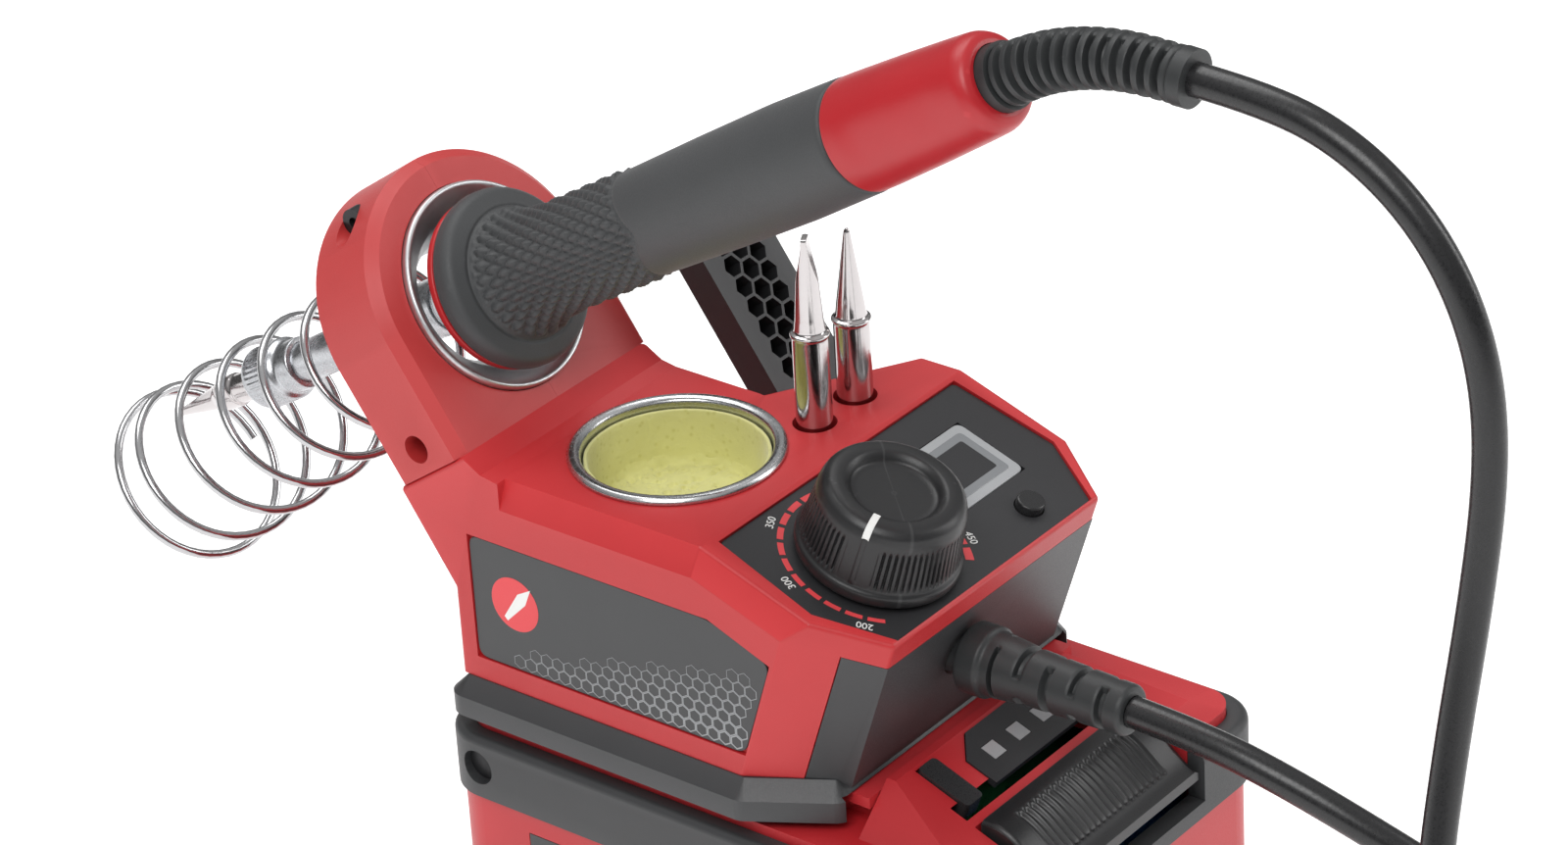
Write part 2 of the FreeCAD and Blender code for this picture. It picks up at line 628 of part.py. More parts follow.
def make_iron():
    """Iron along z of its own frame: the point is at negative z, the cord end at positive z."""
    grip = [
        (7.6, 3), ("collar_radius - 1", 3), ("collar_radius", 4), ("collar_radius", 6.6),
        ("collar_radius - 1.2", 8.2), ("collar_radius - 3.4", 9.6), ("handle_radius + 0.6", 13.5),
        ("handle_radius - 0.1", 17), ("handle_radius - 0.1", 42), ("handle_radius + 0.6", 62),
        ("handle_radius + 0.8", 80), ("handle_radius + 0.4", 97), (7.6, 97),
    ]
    node(lathe(grip), "rubber_grip", iron_frame)
    ring = [(7.6, 1.4), ("collar_radius - 0.5", 1.4), ("collar_radius - 0.5", 2.95), (7.6, 2.95)]
    node(lathe(ring), "collar_ring", iron_frame)
    core = [(5.6, -3), (9, -3), (9, 1.3), (7.5, 1.3), (7.5, 97), (5.6, 97)]
    node(lathe(core), "handle_core", iron_frame)
    sleeve = [
        (5.6, 97.1), ("handle_radius + 0.3", 97.1), ("handle_end_radius + 0.3", 124),
        ("handle_end_radius - 0.6", 128.4), ("handle_end_radius - 1.6", 128.9), (5.6, 128.9),
    ]
    node(lathe(sleeve), "handle_sleeve", iron_frame)
    barrel = [(2.9, -70), (3.9, -70), (3.9, -34), (5.4, -31), (5.4, -3.1), (5.5, -3.1), (5.5, 20), (2.9, 20)]
    node(lathe(barrel), "heater_barrel", iron_frame)
    nut = [(3.95, -68), (5.6, -68), (5.9, -67), (5.9, -60), (4.9, -59), (4.9, -55), (3.95, -55)]
    node(lathe(nut), "barrel_nut", iron_frame)
    tip = [(0, -96.4), (0.4, -96.2), (2.4, -82), (3.2, -80), (3.2, -76), (2.8, -75.6), (2.8, -48), (2.0, -48),
           (2.0, -74), (0, -74)]
    node(lathe(tip), "iron_tip", iron_frame)
    node(rod(1.9, 60, 0, 0, -73), "heating_element", iron_frame)


def swept(points, radius):
    """A round rod through points: straight runs joined by arcs of 0.45 of the shorter run."""
    edges = []
    radii = []
    start = points[0]
    for before, corner, after in zip(points, points[1:], points[2:]):
        into = (corner - before).normalize()
        out = (after - corner).normalize()
        turn = into.getAngle(out)
        reach = 0.45 * min(corner.distanceToPoint(before), corner.distanceToPoint(after))
        radii.append(reach / math.tan(turn / 2))
        sag = radii[-1] * (1 / math.cos(turn / 2) - 1)
        first = corner - into * reach
        last = corner + out * reach
        middle = corner + (out - into).normalize() * sag
        edges.append(Part.LineSegment(start, first).toShape())
        edges.append(Part.Arc(first, middle, last).toShape())
        start = last
    edges.append(Part.LineSegment(start, points[-1]).toShape())
    path = Part.Wire(edges)
    ring = Part.Wire(Part.makeCircle(radius, points[0], points[1] - points[0]))
    solid = path.makePipeShell([ring], True, False)
    ratio = solid.Volume / (math.pi * radius ** 2 * path.Length)
    print(f"rod: length {path.Length:.1f}, volume ratio {ratio:.4f}, radii {[round(r) for r in radii]}")
    return solid


def feature(label, shape):
    piece = doc.addObject("Part::Feature", label)
    piece.Shape = shape
    return node(piece, label)


def relief_points():
    """Centre line of the iron's strain relief: out of the sleeve, then levelling."""
    points = [iron_frame.multVec(Vector(0, 0, 118))]
    for length, heading in ((16, number("iron_pitch")), (8, 25), (8, 15), (8, 6), (9, -2)):
        angle = math.radians(heading)
        points.append(points[-1] + Vector(0, -math.cos(angle), math.sin(angle)) * length)
    return points


def make_iron_relief():
    feature("iron_relief", swept(relief_points(), 5.2))


# ---- cord ---------------------------------------------------------------------------------------

# from the iron's strain relief, down in front of the station and on to the table
IRON_ROUTE = [
    (-13, -98, 199.7), (-13, -111.5, 195.8), (-13, -123, 187.6), (-13, -131, 176.2), (-13.2, -135.4, 162.6),
    (-14.5, -136.8, 147), (-18, -136.4, 127), (-24, -136.2, 106), (-31, -137.4, 86), (-36.5, -140.2, 68),
    (-39.6, -145, 52.5), (-41.2, -151.8, 38.8), (-41.8, -160.4, 26.8), (-41.9, -170.6, 16.8),
    (-41.9, -182, 9.2), (-41.9, -194.6, 4.2), (-41.9, -206.5, 2.85),
]
# from the coil's east side, up and over the pack's front to the gland
STATION_ROUTE = [
    (23.9, -206.5, 8.3), (24.3, -194, 9.9), (23.8, -180, 14.8), (21.8, -165.5, 23), (17.6, -151, 34),
    (11.8, -137, 46), (5.2, -123, 57), (-0.6, -108, 66.6), (-3.9, -93, 73.4), (-5, -78, 76.9),
]
CORD_SPLIT_Z = 116      # above it the cord moves with the iron


def make_cord():
    radius = number("cord_radius")
    iron_points = [relief_points()[-1]] + [Vector(*p) for p in IRON_ROUTE]
    lead = swept(iron_points, radius)
    above = Part.makeBox(200, 400, 200, Vector(-100, -300, CORD_SPLIT_Z))
    feature("cord_iron", lead.common(above))
    feature("cord_table", lead.cut(above))
    coil = cut(rod("coil_outer", "coil_height", "coil_x", "coil_y"),
               rod("coil_inner", "coil_height + 2", "coil_x", "coil_y", -1))
    node(coil, "cord_coil")
    gland_end = Vector(number("gland_x"), number("gland_tip_y"), number("gland_z"))
    station_points = [Vector(*p) for p in STATION_ROUTE] + [gland_end]
    feature("cord_station", swept(station_points, radius))


def make_gland():
    length = number("0 - gland_tip_y") - 22
    points = [(0, 0), (4.1, 0), (4.1, 9.4), (6.4, 9.6), (6.4, 14), (5.5, 14.6), (4.6, length), (0, length)]
    gland = lathe(points)
    frame = Placement(Vector(number("gland_x"), -22, number("gland_z")), Rotation(Vector(1, 0, 0), 90))
    node(gland, "cable_gland", frame)


# ---- battery pack -------------------------------------------------------------------------------

SCREW_SPOTS = [(x, y) for x in (-34.5, 34.5) for y in (-51.5, 51.5)]


def latch_space(margin):
    """Room for the latch button in the pack's front, grown by margin, deep enough for its press."""
    return box(f"43.4 + 2 * {margin}", f"18 + {margin}", 30, 0, "latch_y - 10.5", "case_top_z + 3")


def pack_label(side, shrink):
    points = [
        (f"40 - {shrink}", f"6 + {shrink}"), (f"40 - {shrink}", f"36 - {shrink}"),
        (f"0 - 38 + {shrink}", f"36 - {shrink}"), (f"0 - 44 + {shrink}", f"30 - {shrink}"),
        (f"0 - 44 + {shrink}", f"6 + {shrink}"),
    ]
    start = "pack_width / 2 - 1.8" if side > 0 else "0 - pack_width / 2 + 1"
    depth = "0.8" if float(shrink) > 0 else "1.2"
    if float(shrink) == 0 and side < 0:
        start = "0 - pack_width / 2 + 0.6"
    return prism("YZ_Plane", points, depth, start=start)


def make_case():
    body = rounded(box("pack_width - 2", "pack_length - 2", "case_top_z"), 8, upright)
    body = rounded(body, 2, lambda e: e.BoundBox.ZMax < 0.01)
    hollow = rounded(box("pack_width - 7", "pack_length - 7", "case_top_z", 0, 0, 2.4), 6, upright)
    posts = [rod(3.8, "case_top_z - 2", x, y, 1) for x, y in SCREW_SPOTS]
    shell = fuse(cut(body, hollow), *posts)
    holes = []
    for x, y in SCREW_SPOTS:
        holes += [rod(1.6, 60, x, y, -1), rod(3, 6, x, y, -1)]
    node(cut(shell, *holes, *[pack_label(s, "0") for s in (-1, 1)]), "battery_case")
    for side, name in ((-1, "battery_label_near"), (1, "battery_label_far")):
        node(pack_label(side, "0.15"), name)


def make_bumper():
    body = box("pack_width", "pack_length", "band_top_z - case_top_z", 0, 0, "case_top_z")
    body = rounded(body, 9, upright)
    body = rounded(body, 1.5, lambda e: e.BoundBox.ZMin > number("band_top_z") - 0.01)
    hollow = rounded(box("pack_width - 7", "pack_length - 7", 20, 0, 0, "case_top_z - 1"), 6, upright)
    holes = [rod(3.3, 4, x, 50, "case_top_z + 6", along="x")
             for x in ("0 - pack_width / 2 - 1", "pack_width / 2 - 3")]
    node(cut(body, hollow, latch_space("0.4"), *holes), "battery_bumper")
    plugs = [rod(3.2, 1, x, 50, "case_top_z + 6", along="x")
             for x in ("0 - pack_width / 2 + 2", "pack_width / 2 - 3")]
    node(group(*plugs), "bumper_plugs")


def block_profile():
    """Side outline of the raised front of the pack: a short flat, then a slope to the front."""
    return [
        ("block_back_y", "shoulder_z - 5"), ("block_back_y", "block_top_z"),
        ("block_back_y - 1.8", "block_top_z"),
        ("latch_y", "block_top_z - 4.9"), ("3.6 - pack_length / 2", "block_top_z - 10.2"),
        ("3.6 - pack_length / 2", "shoulder_z - 5"),
    ]


def make_cover():
    plate = rounded(box("pack_width - 7.2", "pack_length - 7.2", 6, 0, 0, "shoulder_z - 6"), 6, upright)
    head = fuse(box(53, 72, 4.4, 0, 9, "shoulder_z - 0.2"), box(58.6, 72, 2.1, 0, 9, "shoulder_z + 3.8"))
    block = prism("YZ_Plane", block_profile(), 66)
    for side in (-1, 1):
        slant = [(f"{side} * 24.5", "block_top_z + 0.01"), (f"{side} * 40", "block_top_z + 0.01"),
                 (f"{side} * 40", "shoulder_z"), (f"{side} * 33", "shoulder_z")]
        corner = prism("XZ_Plane", slant, 300)
        block = cut(block, corner)
    inner = box("pack_width - 14", "pack_length - 14", 10, 0, 0, "shoulder_z - 12")
    block_room = box(44, 13, 9, 0, "block_back_y - 8", "shoulder_z - 5")
    terminal_pocket = box(36, 40, 6, 0, 34, "shoulder_z + 2.6")
    leds = led_plate("0.1", 3)
    button = charge_bar("0.2", 6)
    ports = [leds, button, latch_space("0.4"), terminal_pocket]
    cover = cut(fuse(cut(plate, inner), head, block), block_room, *ports)
    node(cover, "battery_cover")


def led_frame():
    angle = math.degrees(math.atan2(4.9, number("block_back_y - 1.8 - latch_y")))
    corner = Vector(0, number("block_back_y - 1.8"), number("block_top_z"))
    return Placement(corner, Rotation(Vector(1, 0, 0), angle))


def led_plate(grow, thick):
    plate = prism("XY_Plane", [
        (f"0 - 11 - {grow}", f"0 - 5 + {grow}"), (f"0 - 6 - {grow}", f"0 - 0.8 + {grow}"),
        (f"17 + {grow}", f"0 - 0.8 + {grow}"), (f"17 + {grow}", f"0 - 11.5 - {grow}"),
        (f"0 - 11 - {grow}", f"0 - 11.5 - {grow}")], thick, start=-1)
    return framed(plate, led_frame())


def charge_bar(grow, depth):
    bar = box(f"4.6 + 2 * {grow}", f"11 + 2 * {grow}", depth, -17.5, -6.4, f"0.6 - {depth}")
    return framed(bar, led_frame())


def make_pack_top():
    """Dark window with its lights, and the bar button beside it."""
    lights = [(-5 + 7 * i) for i in range(3)]
    pockets = [framed(box(3.4, 3.4, 3, x, -6.4, -0.6), led_frame()) for x in lights]
    node(cut(led_plate("0", "1.3"), *pockets), "led_panel")
    lamps = [box(3.2, 3.2, 0.85, x, -6.4, -0.55) for x in lights]
    node(group(*lamps), "charge_leds", led_frame())
    node(rounded(charge_bar("0", 3.4), 0.9, lambda e: e.Length < 4), "charge_button")


def make_latch():
    """Wide button that follows the slope of the pack's front."""
    points = [("latch_y - 1.8", 48), ("latch_y - 1.8", "block_top_z - 4.6"),
              ("latch_y - 4", "block_top_z - 4.4"),
              ("3.5 - pack_length / 2", "block_top_z - 10"), ("0.6 - pack_length / 2", "block_top_z - 12.4"),
              ("0.6 - pack_length / 2", 48)]
    node(prism("YZ_Plane", points, 42.6), "latch_button")


def make_pack_inside():
    cells = [rod(9.2, 65, -32.5, -39 + 19.4 * column, 12 + 18.8 * layer, along="x")
             for column in range(5) for layer in range(2)]
    node(group(*cells), "battery_cells")
    plates = [box(2, 98, 36, x, -0.2, 3) for x in (-33.6, 33.6)]
    plates = [cut(plate, *[rod(4.2, 80, x, y, -1) for x, y in SCREW_SPOTS]) for plate in plates]
    node(group(*plates), "cell_holder")
    node(box(60, 78, 1.6, 0, 2, "case_top_z + 1"), "battery_board")
    clips = [box(0.8, 6, 3, x + side * 1.2, 17.5, "shoulder_z + 2.6")
             for x in BLADE_SPOTS for side in (-1, 1)]
    node(group(*clips), "battery_contacts")
    screws = [fuse(rod(1.5, 24, x, y, 4), rod(2.8, 2, x, y, 2.9)) for x, y in SCREW_SPOTS]
    node(group(*screws), "battery_screws")


def make_housing_screws():
    screws = [fuse(rod(1.2, 15, x, y, "base_bottom_z + 2"), rod(2.0, 2, x, y, "base_bottom_z + 1.1"))
              for x, y in HOUSING_SCREWS]
    node(group(*screws), "housing_screws")


# ---- the whole ----------------------------------------------------------------------------------

make_housing()
make_base()
make_rails()
make_terminals()
make_labels()
make_panel()
make_display()
make_potentiometer()
make_knob()
make_power_button()
make_board()
make_tin()
make_tip("chisel_tip", "chisel_x", 17.7, 35.7, 1.5)
make_tip("conical_tip", "conical_x", 15.5, 32.4, 0.4)
make_head()
make_head_screws()
make_ring()
make_spring()
make_arm()
make_iron()
make_iron_relief()
make_gland()
make_cord()
make_case()
make_bumper()
make_cover()
make_pack_top()
make_latch()
make_pack_inside()
make_housing_screws()

doc.recompute()
for obj in doc.Objects:
    if "Invalid" in obj.State or "Error" in obj.State:
        raise RuntimeError(f"{obj.Name} {obj.Label} failed: {obj.State}")
os.makedirs("parts", exist_ok=True)
for piece in nodes:
    shape = piece.Shape
    if shape.isNull() or not shape.isValid() or not shape.Solids:
        raise RuntimeError(f"{piece.Label} has no valid solid")
    shape.exportStep(f"parts/{piece.Label}.step")
    print(f"{piece.Label}: {len(shape.Solids)} solids, {shape.Volume:.0f} mm3")
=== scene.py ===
import json
import math

import bpy
import bmesh
from mathutils import Matrix, Vector, noise


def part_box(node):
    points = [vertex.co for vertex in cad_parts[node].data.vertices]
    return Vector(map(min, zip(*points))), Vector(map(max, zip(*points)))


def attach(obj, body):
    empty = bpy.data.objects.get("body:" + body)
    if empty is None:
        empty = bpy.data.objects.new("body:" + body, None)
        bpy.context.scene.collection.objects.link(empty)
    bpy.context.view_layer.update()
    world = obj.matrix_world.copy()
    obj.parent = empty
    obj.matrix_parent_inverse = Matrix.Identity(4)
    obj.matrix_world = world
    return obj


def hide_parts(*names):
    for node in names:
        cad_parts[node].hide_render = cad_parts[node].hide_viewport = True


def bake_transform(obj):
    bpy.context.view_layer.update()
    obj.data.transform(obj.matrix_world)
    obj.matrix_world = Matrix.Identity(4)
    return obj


# A soldering station on its battery pack. Lengths below are in millimetres and made metres by MM.
MM = 0.001
CORD_RADIUS = 2.75
COIL_CENTRE = (-9, -206.5)
COIL_TURNS = 2.5
COIL_POINTS = 16             # control points of a turn
DECK_Z = 104
TIN_CENTRE = (-13.2, 23.6)
TIP_Y = 10
CHISEL_X, CONICAL_X = 7.6, 19.1
RING_CENTRE = Vector((-13, 62.9, 125.0))
HEAD_TILT = 34.9             # degrees between the holder's face and the vertical
SPRING_PITCH = 37.6          # degrees below the horizontal
HEAD_THICK = 18.53
GLAND_START = Vector((-5, -22, 77.3))

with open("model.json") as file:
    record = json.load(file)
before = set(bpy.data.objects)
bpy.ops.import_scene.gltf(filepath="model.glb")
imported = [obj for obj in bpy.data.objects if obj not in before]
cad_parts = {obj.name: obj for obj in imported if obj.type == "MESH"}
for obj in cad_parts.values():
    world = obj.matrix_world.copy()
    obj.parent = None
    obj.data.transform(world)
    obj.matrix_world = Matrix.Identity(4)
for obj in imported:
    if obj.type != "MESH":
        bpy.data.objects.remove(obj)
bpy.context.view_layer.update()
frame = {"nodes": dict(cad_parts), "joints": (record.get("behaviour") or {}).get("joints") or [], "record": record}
joints = {joint["name"]: joint for joint in frame["joints"]}


# ---- frames -------------------------------------------------------------------------------------

def frame_of(origin, up):
    """A frame whose z is up and whose x is the row's X. Its units are millimetres."""
    z = Vector(up).normalized()
    x = Vector((1, 0, 0))
    x = (x - z * x.dot(z)).normalized()
    y = z.cross(x)
    turn = Matrix((x, y, z)).transposed().to_4x4()
    return Matrix.Translation(Vector(origin) * MM) @ turn @ Matrix.Scale(MM, 4)


def leaning(angle):
    """The direction that rises towards the front at this many degrees."""
    return Vector((0, -math.cos(math.radians(angle)), math.sin(math.radians(angle))))


ROW = frame_of((0, 0, 0), (0, 0, 1))
knob_at = Vector(joints["knob_turn"]["pos_m"]) / MM
slope_up = Vector(joints["knob_turn"]["axis"])
KNOB = frame_of(knob_at, slope_up)
SLOPE = frame_of((0, 0, DECK_Z), slope_up)
IRON = frame_of(RING_CENTRE, joints["iron_lift"]["axis"])
RING = frame_of(RING_CENTRE, leaning(HEAD_TILT))
SPRING = frame_of(RING_CENTRE, leaning(SPRING_PITCH))
GLAND = frame_of(GLAND_START, (0, -1, 0))


# ---- camera -------------------------------------------------------------------------------------

def make_camera():
    data = bpy.data.cameras.new("camera")
    data.sensor_width = 36
    data.lens = 120.24
    camera = bpy.data.objects.new("camera", data)
    bpy.context.scene.collection.objects.link(camera)
    forward = Vector((0.6771, 0.5573, -0.4805)).normalized()
    right = Vector((0.6118, -0.7892, -0.0533))
    right = (right - forward * right.dot(forward)).normalized()
    turn = Matrix((right, right.cross(forward), -forward)).transposed().to_4x4()
    camera.matrix_world = Matrix.Translation((-0.6037, -0.4863, 0.5357)) @ turn
    bpy.context.scene.camera = camera


make_camera()


# ---- materials ----------------------------------------------------------------------------------

def node_setter(tree):
    """A function that adds a node to the tree and sets its options and inputs by name."""
    def add(kind, **values):
        made = tree.nodes.new(kind)
        for name, value in values.items():
            if hasattr(made, name):
                setattr(made, name, value)
            else:
                made.inputs[name.replace("_", " ")].default_value = value
        return made
    return add


def finish(name, colour, roughness, metallic=0.0, grain=5000.0, bump=0.12, mottle=0.06, spread=0.08,
           stretch=(1, 1, 1), coat=0.0, wear_and_highlight=0.0, sheen=0.0):
    """A moulded, painted or metal surface: fine grain, mottled colour and uneven gloss, from its nodes; lighter
    convex edges stand for wear and a painted edge highlight.
    """
    made = bpy.data.materials.new(name)
    made.use_nodes = True
    tree = made.node_tree
    add = node_setter(tree)
    link = tree.links.new
    shader = tree.nodes["Principled BSDF"]
    shader.inputs["Metallic"].default_value = metallic
    shader.inputs["Coat Weight"].default_value = coat
    shader.inputs["Sheen Weight"].default_value = sheen
    place = add("ShaderNodeTexCoord")
    scaled = add("ShaderNodeMapping")
    scaled.inputs["Scale"].default_value = stretch
    link(place.outputs["Object"], scaled.inputs["Vector"])
    broad = add("ShaderNodeTexNoise", Scale=70.0, Detail=4.0, Roughness=0.6)
    fine = add("ShaderNodeTexNoise", Scale=grain, Detail=3.0, Roughness=0.65)
    link(place.outputs["Object"], broad.inputs["Vector"])
    link(scaled.outputs["Vector"], fine.inputs["Vector"])
    blotch = add("ShaderNodeMix", data_type="RGBA")
    light = [min(1.0, c * (1 + mottle) + 0.004) for c in colour]
    dark = [c * (1 - mottle) for c in colour]
    blotch.inputs[6].default_value = (*dark, 1)
    blotch.inputs[7].default_value = (*light, 1)
    link(broad.outputs["Fac"], blotch.inputs[0])
    last = blotch.outputs[2]
    # Convex edges turn lighter: partly rubbed wear, partly a painted highlight along the chamfers.
    if wear_and_highlight:
        shape = add("ShaderNodeNewGeometry")
        edge = add("ShaderNodeMapRange")
        edge.inputs["From Min"].default_value = 0.52
        edge.inputs["From Max"].default_value = 0.62
        edge.inputs["To Max"].default_value = wear_and_highlight
        link(shape.outputs["Pointiness"], edge.inputs["Value"])
        rubbed_and_highlit = add("ShaderNodeMix", data_type="RGBA")
        rubbed_and_highlit.inputs[7].default_value = (*[min(1.0, c * 1.5 + 0.05) for c in colour], 1)
        link(edge.outputs["Result"], rubbed_and_highlit.inputs[0])
        link(last, rubbed_and_highlit.inputs[6])
        last = rubbed_and_highlit.outputs[2]
    link(last, shader.inputs["Base Color"])
    gloss = add("ShaderNodeMapRange")
    gloss.inputs["From Min"].default_value = 0.3
    gloss.inputs["From Max"].default_value = 0.7
    gloss.inputs["To Min"].default_value = roughness - spread
    gloss.inputs["To Max"].default_value = roughness + spread
    link(fine.outputs["Fac"], gloss.inputs["Value"])
    link(gloss.outputs["Result"], shader.inputs["Roughness"])
    relief = add("ShaderNodeBump", Strength=bump, Distance=0.0002)
    link(fine.outputs["Fac"], relief.inputs["Height"])
    link(relief.outputs["Normal"], shader.inputs["Normal"])
    return made


RED = (0.5, 0.018, 0.022)
looks = {
    "housing_red": finish("housing_red", RED, 0.42, wear_and_highlight=0.25),
    "head_red": finish("head_red", (0.47, 0.03, 0.03), 0.46, wear_and_highlight=0.2),
    "sleeve_red": finish("sleeve_red", (0.44, 0.012, 0.018), 0.36, wear_and_highlight=0.2),
    "ring_red": finish("ring_red", RED, 0.35),
    "pack_red": finish("pack_red", (0.48, 0.016, 0.022), 0.4, wear_and_highlight=0.25),
    "base_dark": finish("base_dark", (0.03, 0.031, 0.033), 0.42, wear_and_highlight=0.3, mottle=0.1),
    "bumper_dark": finish("bumper_dark", (0.033, 0.034, 0.036), 0.5, wear_and_highlight=0.25, mottle=0.1, bump=0.2),
    "label_grey": finish("label_grey", (0.036, 0.037, 0.039), 0.38, mottle=0.04, bump=0.04),
    "panel_dark": finish("panel_dark", (0.018, 0.018, 0.02), 0.45, bump=0.08, wear_and_highlight=0.1),
    "display_window": finish("display_window", (0.2, 0.21, 0.22), 0.16, bump=0.01, coat=0.6, mottle=0.03),
    "display_frame": finish("display_frame", (0.36, 0.37, 0.38), 0.35, bump=0.03),
    "knob_black": finish("knob_black", (0.012, 0.012, 0.013), 0.38, bump=0.1, wear_and_highlight=0.4, mottle=0.12),
    "mark_white": finish("mark_white", (0.82, 0.82, 0.8), 0.5, bump=0.03, mottle=0.03),
    "dash_red": finish("dash_red", (0.75, 0.06, 0.07), 0.5, bump=0.03, mottle=0.03),
    "print_grey": finish("print_grey", (0.34, 0.35, 0.36), 0.42, bump=0.03, mottle=0.08),
    "button_black": finish("button_black", (0.012, 0.012, 0.013), 0.3, bump=0.06, wear_and_highlight=0.3),
    "tin_steel": finish("tin_steel", (0.58, 0.59, 0.6), 0.25, 1.0, 900.0, 0.06, 0.05, 0.07, (1, 1, 12)),
    "tip_chrome": finish("tip_chrome", (0.55, 0.52, 0.52), 0.14, 1.0, 700.0, 0.02, 0.05, 0.05, (1, 1, 8)),
    "bush_steel": finish("bush_steel", (0.6, 0.61, 0.62), 0.42, 1.0, 1500.0, 0.08, 0.05, 0.08),
    "spring_chrome": finish("spring_chrome", (0.5, 0.5, 0.51), 0.13, 1.0, 900.0, 0.02, 0.08, 0.05),
    "barrel_steel": finish("barrel_steel", (0.5, 0.51, 0.53), 0.28, 1.0, 1200.0, 0.05, 0.08, 0.08),
    "heater_ceramic": finish("heater_ceramic", (0.85, 0.84, 0.8), 0.5),
    "arm_black": finish("arm_black", (0.02, 0.02, 0.022), 0.45, wear_and_highlight=0.3, mottle=0.1),
    "grip_rubber": finish("grip_rubber", (0.042, 0.044, 0.046), 0.55, grain=3500.0, bump=0.2, mottle=0.1,
                          wear_and_highlight=0.15, sheen=0.08),
    "relief_rubber": finish("relief_rubber", (0.022, 0.024, 0.025), 0.48, bump=0.12, mottle=0.12, wear_and_highlight=0.25),
    "cord_black": finish("cord_black", (0.012, 0.012, 0.013), 0.3, grain=1800.0, bump=0.06, mottle=0.15),
    "latch_black": finish("latch_black", (0.012, 0.012, 0.013), 0.34, bump=0.08, wear_and_highlight=0.35),
    "led_grey": finish("led_grey", (0.3, 0.3, 0.31), 0.22, bump=0.03, coat=0.4, mottle=0.12),
    "inner_black": finish("inner_black", (0.03, 0.03, 0.032), 0.5),
    "inner_steel": finish("inner_steel", (0.6, 0.6, 0.61), 0.35, 1.0, 900.0, 0.05),
    "terminal_brass": finish("terminal_brass", (0.8, 0.62, 0.3), 0.3, 1.0, 900.0, 0.05),
    "board_green": finish("board_green", (0.03, 0.22, 0.08), 0.4, grain=900.0),
    "screw_black": finish("screw_black", (0.03, 0.03, 0.032), 0.4, 0.6, 900.0, 0.1),
    "screw_steel": finish("screw_steel", (0.55, 0.55, 0.56), 0.3, 1.0, 900.0, 0.05),
    "cell_blue": finish("cell_blue", (0.05, 0.2, 0.5), 0.3, grain=600.0),
}


def sponge_material():
    """Cellulose sponge: pale yellow, blotched, with dark open pores."""
    made = finish("sponge_yellow", (0.68, 0.66, 0.27), 0.85, grain=1500.0, bump=0.5, mottle=0.1, sheen=0.3)
    tree = made.node_tree
    add = node_setter(tree)
    link = tree.links.new
    shader = tree.nodes["Principled BSDF"]
    before = shader.inputs["Base Color"].links[0].from_socket
    place = add("ShaderNodeTexCoord")
    cells = add("ShaderNodeTexVoronoi", Scale=620.0)
    link(place.outputs["Object"], cells.inputs["Vector"])
    pore = add("ShaderNodeMapRange")
    pore.inputs["From Min"].default_value = 0.08
    pore.inputs["From Max"].default_value = 0.3
    pore.inputs["To Min"].default_value = 0.45
    pore.inputs["To Max"].default_value = 0.0
    link(cells.outputs["Distance"], pore.inputs["Value"])
    mixed = add("ShaderNodeMix", data_type="RGBA")
    mixed.inputs[7].default_value = (0.5, 0.47, 0.12, 1)
    link(pore.outputs["Result"], mixed.inputs[0])
    link(before, mixed.inputs[6])
    link(mixed.outputs[2], shader.inputs["Base Color"])
    return made


looks["sponge_yellow"] = sponge_material()


# ---- meshes -------------------------------------------------------------------------------------

def mesh_piece(name, points, faces, look, body, node=None, smooth=True):
    """A finished mesh that rides on a body and stands for a CAD node."""
    data = bpy.data.meshes.new(name)
    data.from_pydata([tuple(p) for p in points], [], faces)
    made = bmesh.new()
    made.from_mesh(data)
    bmesh.ops.remove_doubles(made, verts=made.verts, dist=1e-7)
    bmesh.ops.recalc_face_normals(made, faces=made.faces)
    made.to_mesh(data)
    made.free()
    if smooth:
        data.polygons.foreach_set("use_smooth", [True] * len(data.polygons))
        data.set_sharp_from_angle(angle=math.radians(38))
    data.materials.append(looks[look])
    piece = bpy.data.objects.new(name, data)
    bpy.context.scene.collection.objects.link(piece)
    if body:
        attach(piece, body)
    if node:
        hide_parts(*([node] if isinstance(node, str) else node))
    return piece


def softened(corners, radius, closed=False, steps=5):
    """The outline with each corner turned into a small arc."""
    out = []
    count = len(corners)
    for i, corner in enumerate(corners):
        here = Vector(corner)
        if not closed and i in (0, count - 1):
            out.append(here)
            continue
        before, after = Vector(corners[i - 1]), Vector(corners[(i + 1) % count])
        reach = min(radius, 0.45 * (here - before).length, 0.45 * (after - here).length)
        first = here + (before - here).normalized() * reach
        last = here + (after - here).normalized() * reach
        for k in range(steps + 1):
            t = k / steps
            out.append(first * (1 - t) ** 2 + here * 2 * t * (1 - t) + last * t ** 2)
    return out


def divided(line, step):
    """The line with its long pieces cut into short ones."""
    out = [line[0]]
    for a, b in zip(line, line[1:]):
        count = max(1, math.ceil((b - a).length / step))
        out += [a.lerp(b, k / count) for k in range(1, count + 1)]
    return out


def lathe(name, profile, place, look, body, node=None, around=96, shape=None):
    """A turned piece from (radius, height) points; shape(radius, height, angle) moves a point."""
    points, faces = [], []
    rows = len(profile)
    for k in range(around):
        angle = 2 * math.pi * k / around
        for radius, height in profile:
            if shape:
                radius, height = shape(radius, height, angle)
            local = Vector((radius * math.cos(angle), radius * math.sin(angle), height))
            points.append(place @ local)
    for k in range(around):
        here, there = k * rows, (k + 1) % around * rows
        for i in range(rows - 1):
            faces.append((here + i, there + i, there + i + 1, here + i + 1))
    return mesh_piece(name, points, faces, look, body, node)


